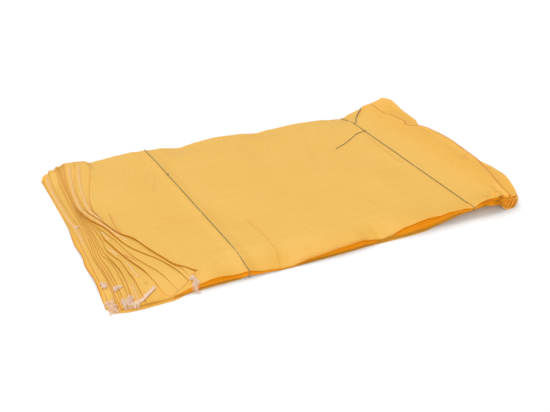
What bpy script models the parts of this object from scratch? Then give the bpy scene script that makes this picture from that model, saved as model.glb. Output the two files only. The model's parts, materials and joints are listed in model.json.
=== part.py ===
"""A flat bundle of empty woven sacks, tied across its width with two thin twines.

The layout is in metres: x runs from the sewn ends of the sacks to their open mouths, y from the front
edge of the bundle to its back edge, and z up from the surface that it lies on. The sacks are numbered
from the bottom one. Each is a thin sheet, because an empty sack lies flat with its two plies together.
"""

import math

import bmesh
import bpy
import numpy as np

# Driving dimensions
SACK_WIDTH = 0.55
SACK_LENGTH = 0.95
SACK_COUNT = 14
SACK_THICKNESS = 0.0004
LAYER_PITCH = 0.0007
LOOSE_PITCH = 0.0011
TWINE_RADIUS = 0.001
TWINE_GAP = 0.0004

# The middle of the bundle's box in the layout, which becomes the part's origin
BUNDLE_CENTRE = (0.4735, 0.2835)

# Where the twines cross, as x at the front edge and x at the back edge
LEFT_TIE_X = (0.264, 0.247)
RIGHT_TIE_X = (0.770, 0.774)
TIE_GROOVE = 0.0030
GROOVE_REACH = 0.022

# The first sack of the upper group, which lifts off the lower group in long gaps at the front edge
UPPER_GROUP = 7
GAP_SHARE = 0.8
GAP_LEFT_X = (0.14, 0.20)
GAP_RIGHT_X = (0.84, 0.89)

# Beyond the twines the sacks lie more loosely: the pitch changes along these stretches
LOOSE_LEFT_X = (0.15, 0.23)
LOOSE_RIGHT_X = (0.79, 0.84)

# How far in from a long edge its own height profile fades into the middle one
EDGE_FADE = 0.035

# Heights in millimetres at places along x. Air is what lies between the sacks, beyond their pressed pitch
FRONT_AIR = (
    (0.00, 1), (0.17, 1), (0.212, 8), (0.262, 3), (0.345, 0), (0.395, 1), (0.46, 9), (0.545, 1),
    (0.605, 9), (0.675, 17), (0.775, 0), (0.83, 9), (0.87, 15), (0.93, 10),
)
MIDDLE_AIR = (
    (0.00, 2), (0.12, 9), (0.26, 14), (0.40, 16), (0.54, 14), (0.66, 13), (0.775, 6), (0.88, 19), (0.95, 18),
)
BACK_AIR = (
    (0.00, 11), (0.05, 15), (0.10, 14), (0.125, 8), (0.17, 12), (0.24, 11), (0.30, 13), (0.33, 7),
    (0.38, 14), (0.43, 18), (0.53, 7), (0.60, 11), (0.66, 9), (0.775, 0), (0.86, 20), (0.93, 32),
)
FRONT_UNDERSIDE = ((0.64, 0), (0.775, 19), (0.83, 15), (0.885, 0))
MIDDLE_UNDERSIDE = ((0.68, 0), (0.79, 8), (0.86, 7), (0.94, 1))
BACK_UNDERSIDE = ((0.70, 0), (0.83, 5), (0.93, 8))

# The front right corner curls down: it starts and ends here along x, and fades out along y
CURL_X = (0.865, 0.92)
CURL_Y = (0.05, 0.17)
CURL_SHARE = 0.7

# Sewn ends as (y, x) points for the sacks that set the fan. The sacks between them are spaced evenly
SEWN_ENDS = {
    0: ((0.00, 0.000), (0.55, 0.002)),
    1: ((0.00, 0.012), (0.20, 0.013), (0.35, 0.007), (0.55, 0.004)),
    2: ((0.00, 0.018), (0.27, 0.026), (0.46, 0.020), (0.55, 0.012)),
    8: ((0.00, 0.040), (0.07, 0.042), (0.16, 0.050), (0.27, 0.052), (0.46, 0.048), (0.55, 0.052)),
    10: ((0.00, 0.072), (0.10, 0.066), (0.17, 0.058), (0.27, 0.054), (0.46, 0.052), (0.55, 0.062)),
    11: ((0.00, 0.108), (0.08, 0.097), (0.16, 0.072), (0.24, 0.058), (0.38, 0.052), (0.55, 0.068)),
    12: ((0.00, 0.158), (0.10, 0.136), (0.18, 0.094), (0.28, 0.062), (0.36, 0.046), (0.55, 0.083)),
    13: ((0.00, 0.130), (0.043, 0.176), (0.15, 0.126), (0.23, 0.092), (0.38, 0.070), (0.55, 0.113)),
}

# Open mouths of the lower group, the upper group and the top sack, as (y, how far short of a sack's length)
LOWER_MOUTH = (
    (0.00, 0.064), (0.03, 0.034), (0.09, 0.010), (0.15, 0.003), (0.20, 0.013), (0.30, 0.028),
    (0.38, 0.048), (0.45, 0.044), (0.55, 0.050),
)
UPPER_MOUTH = (
    (0.00, 0.076), (0.05, 0.066), (0.125, 0.042), (0.25, 0.030), (0.36, 0.041), (0.385, 0.048),
    (0.43, 0.038), (0.52, 0.038), (0.55, 0.058),
)
TOP_MOUTH = (
    (0.00, 0.090), (0.03, 0.078), (0.08, 0.064), (0.17, 0.045), (0.29, 0.030), (0.37, 0.045), (0.47, 0.076),
)
LOWEST_UPPER_MOUTH = 9

# Back edges as (x, y) points. The top sack's back corner is pulled in past the right twine
BACK_EDGE = ((0.00, 0.554), (0.20, 0.559), (0.50, 0.553), (0.95, 0.553))
TOP_BACK_EDGE = ((0.00, 0.564), (0.40, 0.560), (0.745, 0.548), (0.80, 0.515), (0.84, 0.490), (0.88, 0.466))
FRONT_EDGE = (
    (0.00, 0.000), (0.27, 0.000), (0.345, -0.006), (0.44, -0.007), (0.54, -0.002), (0.81, 0.000),
    (0.87, -0.006), (0.95, -0.002),
)
TOP_FRONT_EDGE = (
    (0.10, 0.000), (0.20, 0.004), (0.345, -0.005), (0.44, -0.005), (0.54, -0.001), (0.60, 0.000),
)

# The back left corners fan out: how far each steps back from the one below, to the most that any does
CORNER_STEP = 0.005
CORNER_REACH = 0.020
CORNER_X = (0.03, 0.14)
CORNER_BULGE = 0.5

# Columns and rows where every sheet has its points, a little past the bundle's edges. Each sack's outline
# is cut from its sheet by an upright prism, so that all sheets bend alike and lie clear of each other
COLUMNS = (
    -0.03, 0.045, 0.100, 0.130, 0.170, 0.212, "left tie before", "left tie", "left tie after",
    0.335, 0.395, 0.460, 0.540, 0.605, 0.675, 0.720, "right tie before", "right tie",
    "right tie after", 0.830, 0.865, 0.900, 0.970,
)
ROWS = (-0.03, 0.005, 0.040, 0.100, 0.250, 0.400, 0.500, 0.545, 0.590)
CUTTER_HEIGHT = (-0.02, 0.12)
LEAST_EDGE = 0.01

# Loose ends of the right twine's knots, as (x, y) points over the top sack, and their radii
LONG_TAIL = ((0.7715, 0.434), (0.760, 0.4335), (0.745, 0.428), (0.722, 0.412), (0.692, 0.393), (0.658, 0.376))
PAIR_TAIL = ((0.7790, 0.486), (0.790, 0.506), (0.806, 0.526), (0.829, 0.546))
PAIR_RADIUS = 0.0015
TAIL_STEP = 0.005

MM = 0.001


def smooth_step(low, high, value):
    """0 below low, 1 above high, and a cubic with level ends between them."""
    share = np.clip((value - low) / (high - low), 0.0, 1.0)
    return share * share * (3.0 - 2.0 * share)


def profile(points, x):
    """Height at x on a curve through (x, height) points that is level at each of them."""
    x = np.asarray(x, float)
    height = np.full(x.shape, float(points[0][1]))
    for (start, low), (end, high) in zip(points, points[1:]):
        height += (high - low) * smooth_step(start, end, x)
    return height


def outline(points, along):
    """A polyline through (place along an edge, place across it) points."""
    places = np.array(points)
    return np.interp(along, places[:, 0], places[:, 1])


def tie_x(tie, y):
    """x of a twine at y."""
    return tie[0] + (tie[1] - tie[0]) * np.asarray(y) / SACK_WIDTH


def column_x(column, y):
    """The x of a named or numbered column at y: those at a twine follow the twine."""
    if not isinstance(column, str):
        return np.full(np.shape(y), column)
    tie = LEFT_TIE_X if column.startswith("left") else RIGHT_TIE_X
    offset = {"before": -GROOVE_REACH, "after": GROOVE_REACH}.get(column.split()[-1], 0.0)
    return tie_x(tie, y) + offset


def edge_weights(y):
    """How much the front and back profiles count at y. The rest is the middle profile's."""
    front = np.exp(-((np.maximum(y, 0.0) / EDGE_FADE) ** 2))
    back = np.exp(-((np.maximum(SACK_WIDTH - y, 0.0) / EDGE_FADE) ** 2))
    return front, back


def blended(front, middle, back, x, y):
    """Height at (x, y) between the front, middle and back profiles."""
    near, far = edge_weights(y)
    return near * profile(front, x) + (1 - near - far) * profile(middle, x) + far * profile(back, x)


def underside(x, y):
    """Height of the bundle's underside: on the floor, over each twine, and arched at the right end."""
    arch = MM * blended(FRONT_UNDERSIDE, MIDDLE_UNDERSIDE, BACK_UNDERSIDE, x, y)
    reach = np.minimum(np.abs(x - tie_x(LEFT_TIE_X, y)), np.abs(x - tie_x(RIGHT_TIE_X, y)))
    return np.maximum(arch, TIE_GROOVE * (1 - np.minimum(reach / GROOVE_REACH, 1)))


def layer_share(number, x, y):
    """The share of the air that lies below a sack: even, but for the gap under the upper group."""
    near, far = edge_weights(y)
    gap = GAP_SHARE * near * smooth_step(*GAP_LEFT_X, x) * (1 - smooth_step(*GAP_RIGHT_X, x))
    lifted = 1.0 if number >= UPPER_GROUP else 0.0
    bulge = CORNER_BULGE * far * (1 - smooth_step(*CORNER_X, x))
    return (1 - gap) * (number / (SACK_COUNT - 1)) ** (1 - bulge) + gap * lifted


def field_height(number, x, y):
    """Height of the middle of a sack's sheet at (x, y)."""
    curl = CURL_SHARE * smooth_step(*CURL_X, x) * (1 - smooth_step(*CURL_Y, y))
    air = MM * blended(FRONT_AIR, MIDDLE_AIR, BACK_AIR, x, y) * (1 - curl)
    loose = 1 - smooth_step(*LOOSE_LEFT_X, x) + smooth_step(*LOOSE_RIGHT_X, x)
    pitch = LAYER_PITCH + (LOOSE_PITCH - LAYER_PITCH) * loose
    return underside(x, y) + SACK_THICKNESS / 2 + pitch * number + air * layer_share(number, x, y)


def sheet_height(number, x, y):
    """Height at (x, y), read from straight lines between the columns and rows that all sheets share."""
    rows = np.array(ROWS)
    at_rows = []
    for row in ROWS:
        stations = np.array([float(column_x(column, row)) for column in COLUMNS])
        at_rows.append(np.interp(x, stations, field_height(number, stations, np.full(len(stations), row))))
    at_rows = np.array(at_rows)
    above = np.clip(np.searchsorted(rows, y), 1, len(rows) - 1)
    share = (y - rows[above - 1]) / (rows[above] - rows[above - 1])
    return at_rows[above - 1, np.arange(len(x))] * (1 - share) + at_rows[above, np.arange(len(x))] * share


def sewn_end(number, y):
    """x of a sack's sewn end at y, worked out between the two sacks that set the fan around it."""
    if number in SEWN_ENDS:
        return outline(SEWN_ENDS[number], y)
    below = max(key for key in SEWN_ENDS if key < number)
    above = min(key for key in SEWN_ENDS if key > number)
    share = (number - below) / (above - below)
    return outline(SEWN_ENDS[below], y) * (1 - share) + outline(SEWN_ENDS[above], y) * share


def mouth_end(number, y):
    """x of a sack's open mouth at y."""
    if number == SACK_COUNT - 1:
        mouth = TOP_MOUTH
    else:
        mouth = LOWER_MOUTH if number < LOWEST_UPPER_MOUTH else UPPER_MOUTH
    return SACK_LENGTH - outline(mouth, y)


def long_edges(number):
    """The front and back edge of a sack, as (x, y) points."""
    if number == SACK_COUNT - 1:
        return TOP_FRONT_EDGE, TOP_BACK_EDGE
    step = min(CORNER_STEP * number, CORNER_REACH)
    corner = ((CORNER_X[0], BACK_EDGE[0][1] + step), (CORNER_X[1], BACK_EDGE[0][1] + step / 3))
    return FRONT_EDGE, (*corner, *BACK_EDGE[1:])


def sack_outline(number):
    """A sack's outline from above, as (x, y) points round it."""
    front, back = long_edges(number)
    across = sorted({y for points in (*SEWN_ENDS.values(), LOWER_MOUTH, UPPER_MOUTH) for y, _ in points})
    inner = [y for y in across if LEAST_EDGE < y < SACK_WIDTH - LEAST_EDGE]
    sewn = [(float(sewn_end(number, y)), y) for y in inner]
    mouth = [(float(mouth_end(number, y)), y) for y in inner]
    mouth = [(x, y) for x, y in mouth if y < outline(back, x) - LEAST_EDGE]
    corners = []
    for edge, y in ((front, 0.0), (back, SACK_WIDTH)):
        sewn_x, mouth_x = float(sewn_end(number, y)), float(mouth_end(number, y))
        along = [(sewn_x, float(outline(edge, sewn_x)))]
        along += [point for point in edge if sewn_x + LEAST_EDGE < point[0] < mouth_x - LEAST_EDGE]
        along += [(mouth_x, float(outline(edge, mouth_x)))]
        corners.append(along)
    return [*corners[0], *mouth, *corners[1][::-1], *sewn[::-1]]


def make_material(name, colour, roughness):
    """A plain finish for one kind of piece."""
    material = bpy.data.materials.new(name)
    material.use_nodes = True
    shader = material.node_tree.nodes["Principled BSDF"]
    shader.inputs["Base Color"].default_value = (*colour, 1.0)
    shader.inputs["Roughness"].default_value = roughness
    return material


def add_object(name, data, collection, origin, material):
    """Link a new piece under the layout's corner."""
    piece = bpy.data.objects.new(name, data)
    piece.data.materials.append(material)
    piece.parent = origin
    collection.objects.link(piece)
    return piece


def make_cutter(number, cutters, origin):
    """An upright prism over a sack's outline."""
    low, high = CUTTER_HEIGHT
    mesh = bpy.data.meshes.new(f"outline_{number + 1:02d}")
    prism = bmesh.new()
    corners = [prism.verts.new((x, y, low)) for x, y in sack_outline(number)]
    base = prism.faces.new(corners)
    raised = bmesh.ops.extrude_face_region(prism, geom=[base])["geom"]
    for vertex in raised:
        if isinstance(vertex, bmesh.types.BMVert):
            vertex.co.z = high
    bmesh.ops.recalc_face_normals(prism, faces=prism.faces[:])
    prism.to_mesh(mesh)
    prism.free()
    cutter = bpy.data.objects.new(mesh.name, mesh)
    cutter.parent = origin
    cutter.hide_render = True
    cutter.display_type = "WIRE"
    cutters.objects.link(cutter)
    return cutter


def make_sack(number, collection, cutters, origin, material):
    """One empty sack: a thin sheet of two pressed plies, cut to the sack's outline."""
    mesh = bpy.data.meshes.new(f"sack_{number + 1:02d}")
    sheet = bmesh.new()
    last_column, last_row = len(COLUMNS) - 1, len(ROWS) - 1
    bmesh.ops.create_grid(sheet, x_segments=last_column, y_segments=last_row, size=0.5)
    for vertex in sheet.verts:
        column = COLUMNS[round((vertex.co.x + 0.5) * last_column)]
        y = ROWS[round((vertex.co.y + 0.5) * last_row)]
        x = float(column_x(column, y))
        vertex.co = (x, y, float(field_height(number, x, y)))
    bmesh.ops.triangulate(sheet, faces=sheet.faces[:], quad_method="FIXED")
    sheet.to_mesh(mesh)
    sheet.free()
    sack = add_object(mesh.name, mesh, collection, origin, material)
    thickness = sack.modifiers.new("pressed plies", "SOLIDIFY")
    thickness.thickness = SACK_THICKNESS
    thickness.offset = 0.0
    cut = sack.modifiers.new("outline", "BOOLEAN")
    cut.operation = "INTERSECT"
    cut.solver = "EXACT"
    cut.object = make_cutter(number, cutters, origin)
    return sack


def make_twine(name, points, radius, cyclic, collection, origin, material):
    """A twine: a round tube along a straight-sided path."""
    curve = bpy.data.curves.new(name, "CURVE")
    curve.dimensions = "3D"
    curve.bevel_depth = radius
    curve.bevel_resolution = 2
    curve.use_fill_caps = True
    path = curve.splines.new("POLY")
    path.points.add(len(points) - 1)
    for target, point in zip(path.points, points):
        target.co = (*point, 1.0)
    path.use_cyclic_u = cyclic
    return add_object(name, curve, collection, origin, material)


def corner_arc(centre, radius, start, end, count=4):
    """Points in the (y, z) plane round a corner, from one angle to another in degrees."""
    angles = [math.radians(start + (end - start) * step / (count - 1)) for step in range(count)]
    return [(centre[0] + radius * math.cos(angle), centre[1] + radius * math.sin(angle)) for angle in angles]


def tie_points(tie):
    """A twine's loop round the bundle: over the top sack, down the front, underneath and up the back."""
    reach = TWINE_RADIUS + TWINE_GAP
    x_front, x_back = float(tie_x(tie, 0.0)), float(tie_x(tie, SACK_WIDTH))
    top = SACK_COUNT - 1
    front = min(float(outline(TOP_FRONT_EDGE, x_front)), float(outline(FRONT_EDGE, x_front)))
    back = max(float(outline(TOP_BACK_EDGE, x_back)), float(outline(BACK_EDGE, x_back)))
    rows = np.array([front, *ROWS[1:-1], back])
    over = sheet_height(top, tie_x(tie, rows), rows) + SACK_THICKNESS / 2
    under = sheet_height(0, tie_x(tie, rows), rows) - SACK_THICKNESS / 2
    inner = list(zip(rows[1:-1], over[1:-1] + reach))
    below = list(zip(rows[1:-1], under[1:-1] - reach))
    loop = corner_arc((back, over[-1]), reach, 0, 90)
    loop += inner[::-1]
    loop += corner_arc((front, over[0]), reach, 90, 180)
    loop += corner_arc((front, under[0]), reach, 180, 270)
    loop += below
    loop += corner_arc((back, under[-1]), reach, 270, 360)
    return [(float(tie_x(tie, y)), y, z) for y, z in loop]


def smooth_route(points, step):
    """Even points on a smooth curve (Catmull-Rom) through a route's own (x, y) points."""
    route = np.array([points[0], *points, points[-1]])
    dense = []
    for before, start, end, after in zip(route, route[1:], route[2:], route[3:]):
        share = np.linspace(0, 1, 20, endpoint=False)[:, None]
        dense.append(
            0.5
            * (
                2 * start
                + (end - before) * share
                + (2 * before - 5 * start + 4 * end - after) * share**2
                + (3 * start - before - 3 * end + after) * share**3
            )
        )
    dense = np.concatenate([*dense, route[-1:]])
    travelled = np.concatenate([[0], np.cumsum(np.linalg.norm(np.diff(dense, axis=0), axis=1))])
    even = np.linspace(0, travelled[-1], max(3, round(travelled[-1] / step)))
    return np.stack([np.interp(even, travelled, dense[:, axis]) for axis in range(2)], axis=1)


def tail_points(points, radius):
    """A loose end lying on the top sack."""
    route = smooth_route(points, TAIL_STEP)
    top = sheet_height(SACK_COUNT - 1, route[:, 0], route[:, 1])
    z = top + SACK_THICKNESS / 2 + TWINE_GAP + radius
    return np.column_stack([route, z]).tolist()


def main():
    for thing in list(bpy.data.objects):
        bpy.data.objects.remove(thing)
    collection = bpy.data.collections.new("sack_bundle")
    bpy.context.scene.collection.children.link(collection)
    cutters = bpy.data.collections.new("sack_outlines")
    bpy.context.scene.collection.children.link(cutters)
    origin = bpy.data.objects.new("layout_corner", None)
    origin.location = (-BUNDLE_CENTRE[0], -BUNDLE_CENTRE[1], 0.0)
    collection.objects.link(origin)
    fabric = make_material("golden yellow woven polypropylene", (0.86, 0.52, 0.12), 0.55)
    twine = make_material("grey brown twine", (0.22, 0.17, 0.09), 0.9)
    for number in range(SACK_COUNT):
        make_sack(number, collection, cutters, origin, fabric)
    for name, tie in (("tie_left", LEFT_TIE_X), ("tie_right", RIGHT_TIE_X)):
        make_twine(name, tie_points(tie), TWINE_RADIUS, True, collection, origin, twine)
    long_tail = tail_points(LONG_TAIL, TWINE_RADIUS)
    make_twine("tie_right_long_tail", long_tail, TWINE_RADIUS, False, collection, origin, twine)
    pair_tail = tail_points(PAIR_TAIL, PAIR_RADIUS)
    make_twine("tie_right_pair_tail", pair_tail, PAIR_RADIUS, False, collection, origin, twine)


main()
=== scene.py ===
"""The looks of a flat bundle of empty woven sacks, tied across its width with two thin twines.

Each sack is one closed surface with a real mouth: a hemmed end, two plies joined by folded long edges, and
a pocket that opens at the other end. The layout's x runs from the sewn ends to the mouths, y from the front
edge to the back one, and z up. The sacks are numbered from the bottom one, which is 0.
"""

import json
import math

import bpy
import numpy as np
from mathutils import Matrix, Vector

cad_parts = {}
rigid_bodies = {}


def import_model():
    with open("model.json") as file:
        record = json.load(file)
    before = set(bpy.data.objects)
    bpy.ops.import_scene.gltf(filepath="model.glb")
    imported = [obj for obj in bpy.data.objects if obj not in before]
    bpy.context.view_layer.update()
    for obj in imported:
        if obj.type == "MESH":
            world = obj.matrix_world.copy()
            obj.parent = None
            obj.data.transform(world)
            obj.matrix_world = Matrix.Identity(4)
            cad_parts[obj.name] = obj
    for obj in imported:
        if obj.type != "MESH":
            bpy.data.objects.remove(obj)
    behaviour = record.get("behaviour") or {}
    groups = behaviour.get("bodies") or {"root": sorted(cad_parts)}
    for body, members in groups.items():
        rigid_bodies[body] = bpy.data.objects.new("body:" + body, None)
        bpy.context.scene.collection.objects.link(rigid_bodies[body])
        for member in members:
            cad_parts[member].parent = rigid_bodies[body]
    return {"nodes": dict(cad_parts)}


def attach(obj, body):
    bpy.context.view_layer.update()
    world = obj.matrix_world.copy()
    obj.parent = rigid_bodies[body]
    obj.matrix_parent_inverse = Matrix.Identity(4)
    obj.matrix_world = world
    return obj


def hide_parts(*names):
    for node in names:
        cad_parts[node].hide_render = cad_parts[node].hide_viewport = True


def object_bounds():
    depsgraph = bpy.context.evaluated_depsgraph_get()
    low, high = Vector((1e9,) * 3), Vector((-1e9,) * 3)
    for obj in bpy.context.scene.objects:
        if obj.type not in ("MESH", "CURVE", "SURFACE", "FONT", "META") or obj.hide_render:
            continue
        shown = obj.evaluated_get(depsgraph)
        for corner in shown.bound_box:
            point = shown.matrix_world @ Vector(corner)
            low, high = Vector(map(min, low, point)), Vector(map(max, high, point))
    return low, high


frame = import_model()
CAD_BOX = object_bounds()

bl_info = {
    "name": "Bundle of empty woven sacks",
    "version": (1, 0, 0),
    "blender": (4, 5, 0),
    "location": "View3D > Sidebar > Sack bundle",
    "description": "Builds a tied bundle of empty woven sacks with sewn hems, open mouths and twine",
    "category": "Add Mesh",
}

BODY = "root"
MM = 0.001

# The layout's corner in the frame. The front edge bulges this far past y = 0 in the layout
FRONT_BULGE = 0.007
CORNER = np.array((CAD_BOX[0].x, CAD_BOX[0].y + FRONT_BULGE, 0.0))

SACK_NODES = sorted(name for name in frame["nodes"] if name.startswith("sack_"))
SACK_COUNT = len(SACK_NODES)
TOP = SACK_COUNT - 1
SACK_WIDTH = 0.55
SACK_LENGTH = 0.95

# Sheets of the stack: a pressed sheet's thickness and the steps between sheets
SHEET_THICKNESS = 0.0004
LAYER_PITCH = 0.0007
LOOSE_PITCH = 0.0011
LOOSE_LEFT_X = (0.15, 0.23)
LOOSE_RIGHT_X = (0.79, 0.84)

# Where the twines cross, as x at the front edge and x at the back edge
LEFT_TIE_X = (0.264, 0.247)
RIGHT_TIE_X = (0.770, 0.774)
TIE_GROOVE = 0.0030
GROOVE_REACH = 0.022

# The upper group lifts off the lower one in long gaps at the front edge. A few sheets hang between them
UPPER_GROUP = 7
GAP_SHARE = 0.8
GAP_LEFT_X = (0.14, 0.20)
GAP_RIGHT_X = (0.805, 0.84)
HANGING = {5: 0.30, 6: 0.38}
HANGING_X = (0.56, 0.64, 0.72, 0.775)

# How far in from a long edge its own height profile fades into the middle one
EDGE_FADE = 0.035

# Heights in millimetres at places along x. Air is what lies between the sacks, beyond their pitch
FRONT_AIR = (
    (0.00, 1), (0.06, 0.5), (0.12, 0), (0.17, 3), (0.212, 7), (0.262, 6), (0.30, 3), (0.345, 0.2),
    (0.39, 6.5), (0.45, 10.7), (0.50, 12), (0.528, 6), (0.548, 1.3), (0.565, 4), (0.605, 15),
    (0.654, 20.7), (0.70, 14), (0.74, 6.5), (0.768, 0.8), (0.786, 8.0), (0.80, 8.6), (0.82, 6.4),
    (0.832, 4.5), (0.845, 9), (0.862, 15), (0.93, 18),
)
MIDDLE_AIR = (
    (0.00, 2), (0.12, 9), (0.26, 14), (0.40, 16), (0.54, 14), (0.66, 13), (0.775, 6), (0.88, 16),
    (0.95, 15),
)
BACK_AIR = (
    (0.00, 1), (0.013, 14.5), (0.024, 18.5), (0.036, 18.5), (0.048, 14), (0.066, 14.5), (0.103, 12),
    (0.117, 3.8), (0.139, 5.6), (0.158, 7.5), (0.177, 10.7), (0.215, 15.2), (0.252, 11.3), (0.276, 12.3),
    (0.333, 4.6), (0.354, 8.3), (0.374, 11.2), (0.425, 14.6), (0.479, 12), (0.534, 6), (0.566, 9),
    (0.634, 12.6), (0.703, 11.4), (0.75, 4.4), (0.774, 0), (0.798, 9.2), (0.822, 12.2), (0.845, 20.5),
    (0.894, 27), (0.95, 32),
)
# How closely the sacks are pressed at the front edge, as a share of their pitch
FRONT_PRESS = (
    (0.00, 1.0), (0.04, 0.9), (0.08, 0.5), (0.113, 0.3), (0.15, 0.6), (0.20, 1.0), (0.25, 0.7),
    (0.30, 0.5), (0.345, 0.38), (0.39, 0.45), (0.50, 0.6), (0.55, 0.65), (0.60, 0.6), (0.74, 0.6),
    (0.775, 0.55), (0.81, 0.75), (0.85, 1.0), (0.95, 1.0),
)
FRONT_UNDERSIDE = ((0.645, 0), (0.765, 17), (0.80, 19.5), (0.834, 18.5), (0.858, 0))
MIDDLE_UNDERSIDE = ((0.68, 0), (0.79, 8), (0.86, 7), (0.94, 1))
BACK_UNDERSIDE = ((0.70, 0), (0.83, 5), (0.93, 8))

# The front right corner curls down: it starts and ends here along x, and fades out along y
CURL_X = (0.865, 0.898)
CURL_Y = (0.01, 0.08)
CURL_SHARE = 0.55

# The lowest sack hangs down to the floor along this stretch of the left end, as a steep side
STEEP_Y = (0.03, 0.07, 0.28, 0.36)
STEEP_X = (0.001, 0.009)
STEEP_FADE_X = (0.025, 0.100)
STEEP_HEIGHT = 0.0075

# Sewn ends as (y, x) points. A sack without its own lies midway between its neighbours
SEWN_ENDS = {
    0: ((0.00, 0.000), (0.04, 0.002), (0.11, 0.005), (0.163, 0.002), (0.20, 0.005), (0.245, 0.002),
        (0.32, 0.006), (0.46, 0.003), (0.55, 0.000)),
    1: ((0.00, 0.009), (0.08, 0.010), (0.21, 0.011), (0.27, 0.0105), (0.35, 0.008), (0.46, 0.005),
        (0.55, 0.003)),
    2: ((0.00, 0.020), (0.09, 0.0235), (0.17, 0.020), (0.30, 0.025), (0.38, 0.0215), (0.49, 0.018),
        (0.55, 0.019)),
    3: ((0.00, 0.024), (0.10, 0.026), (0.17, 0.0225), (0.23, 0.028), (0.32, 0.031), (0.40, 0.030),
        (0.55, 0.034)),
    5: ((0.00, 0.034), (0.09, 0.035), (0.13, 0.034), (0.157, 0.031), (0.20, 0.033), (0.30, 0.036),
        (0.38, 0.0345), (0.46, 0.0365), (0.55, 0.041)),
    6: ((0.00, 0.042), (0.08, 0.046), (0.117, 0.046), (0.148, 0.042), (0.165, 0.036), (0.24, 0.038),
        (0.38, 0.0355), (0.47, 0.038), (0.55, 0.044)),
    7: ((0.00, 0.047), (0.06, 0.0515), (0.09, 0.0525), (0.15, 0.045), (0.18, 0.041), (0.30, 0.0405),
        (0.38, 0.036), (0.47, 0.039), (0.55, 0.047)),
    8: ((0.00, 0.068), (0.06, 0.067), (0.087, 0.064), (0.13, 0.062), (0.144, 0.056), (0.18, 0.047),
        (0.21, 0.049), (0.30, 0.042), (0.38, 0.0365), (0.47, 0.040), (0.55, 0.050)),
    9: ((0.00, 0.112), (0.009, 0.106), (0.036, 0.0995), (0.076, 0.092), (0.10, 0.085), (0.147, 0.070),
        (0.19, 0.060), (0.215, 0.0535), (0.235, 0.054), (0.30, 0.0435), (0.38, 0.0368), (0.47, 0.041),
        (0.55, 0.052)),
    10: ((0.00, 0.132), (0.05, 0.118), (0.10, 0.099), (0.133, 0.087), (0.18, 0.0765), (0.20, 0.073),
         (0.247, 0.057), (0.275, 0.051), (0.30, 0.0445), (0.38, 0.037), (0.47, 0.042), (0.55, 0.054)),
    11: ((0.00, 0.158), (0.035, 0.150), (0.062, 0.141), (0.104, 0.123), (0.135, 0.105), (0.166, 0.089),
         (0.21, 0.076), (0.25, 0.0655), (0.278, 0.053), (0.301, 0.045), (0.343, 0.039), (0.371, 0.037),
         (0.411, 0.039), (0.461, 0.043), (0.511, 0.049), (0.55, 0.056)),
    12: ((0.00, 0.162), (0.05, 0.154), (0.12, 0.126), (0.19, 0.104), (0.22, 0.086), (0.25, 0.075),
         (0.30, 0.061), (0.33, 0.052), (0.38, 0.0505), (0.425, 0.053), (0.478, 0.061), (0.55, 0.078)),
    13: ((0.00, 0.117), (0.0035, 0.128), (0.009, 0.142), (0.0255, 0.166), (0.0295, 0.178), (0.035, 0.171),
         (0.048, 0.162), (0.069, 0.144), (0.092, 0.135), (0.132, 0.121), (0.193, 0.101), (0.219, 0.085),
         (0.236, 0.077), (0.264, 0.069), (0.301, 0.066), (0.335, 0.0625), (0.347, 0.064), (0.362, 0.065),
         (0.426, 0.079), (0.486, 0.097), (0.55, 0.113)),
}

# Hems that stand off the sack below: (sack, height, stretch of y). A lift fades out between two distances
# from the hem or mouth
HEM_LIFTS = (
    (2, 0.0004, (-0.02, 0.00, 0.50, 0.56)),
    (3, 0.0006, (-0.02, 0.00, 0.50, 0.56)),
    (5, 0.0004, (0.00, 0.04, 0.30, 0.40)),
    (6, 0.0004, (0.00, 0.04, 0.30, 0.40)),
    (7, 0.0020, (0.00, 0.03, 0.12, 0.17)),
    (7, 0.0004, (0.10, 0.16, 0.45, 0.55)),
    (8, 0.0010, (-0.02, 0.02, 0.20, 0.30)),
    (9, 0.0014, (0.05, 0.09, 0.22, 0.26)),
    (11, 0.0018, (0.17, 0.22, 0.33, 0.50)),
    (11, 0.0006, (0.00, 0.03, 0.16, 0.22)),
    (12, 0.0005, (0.20, 0.30, 0.48, 0.56)),
    (13, 0.0007, (-0.03, -0.02, 0.48, 0.56)),
    (13, 0.0010, (-0.03, -0.02, 0.03, 0.05)),
    (13, 0.0016, (0.330, 0.341, 0.347, 0.358)),
)
LIFT_START, LIFT_FADE = 0.002, 0.016

# Mouths that stand off the sack below: (lowest and highest sack, height)
MOUTH_LIFTS = ((12, 13, 0.0010), (8, 11, 0.0006))

# Open mouths of the lower group, the upper group and the top sack, as (y, how far short of a sack's length)
LOWER_MOUTH = (
    (-0.008, 0.086), (0.002, 0.066), (0.03, 0.036), (0.09, 0.010), (0.15, 0.003), (0.20, 0.013),
    (0.30, 0.028), (0.38, 0.048), (0.45, 0.044), (0.55, 0.050),
)
UPPER_MOUTH = (
    (-0.008, 0.088), (0.000, 0.073), (0.012, 0.062), (0.04, 0.050), (0.067, 0.041), (0.091, 0.036),
    (0.124, 0.035), (0.151, 0.041), (0.19, 0.0445), (0.227, 0.0425), (0.30, 0.039), (0.35, 0.041),
    (0.382, 0.050), (0.422, 0.034), (0.470, 0.030), (0.50, 0.030), (0.53, 0.036), (0.55, 0.052),
)
TOP_MOUTH = (
    (-0.004, 0.092), (0.005, 0.084), (0.031, 0.083), (0.062, 0.075), (0.092, 0.065), (0.126, 0.056),
    (0.159, 0.047), (0.19, 0.043), (0.227, 0.0405), (0.300, 0.037), (0.355, 0.043), (0.372, 0.055),
    (0.396, 0.080), (0.416, 0.073), (0.442, 0.076), (0.48, 0.084), (0.55, 0.090),
)
LOWEST_UPPER_MOUTH = 9

# How far each upper mouth steps out past the one above at the front corner, and how far each lower mouth
# falls short of the one below, with the share of that which holds away from the corner
UPPER_MOUTH_STEP = 0.0028
MOUTH_STAGGER = 0.0042
EVEN_STAGGER = 0.55
MOUTH_CORNER_Y = (0.03, 0.12)

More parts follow.
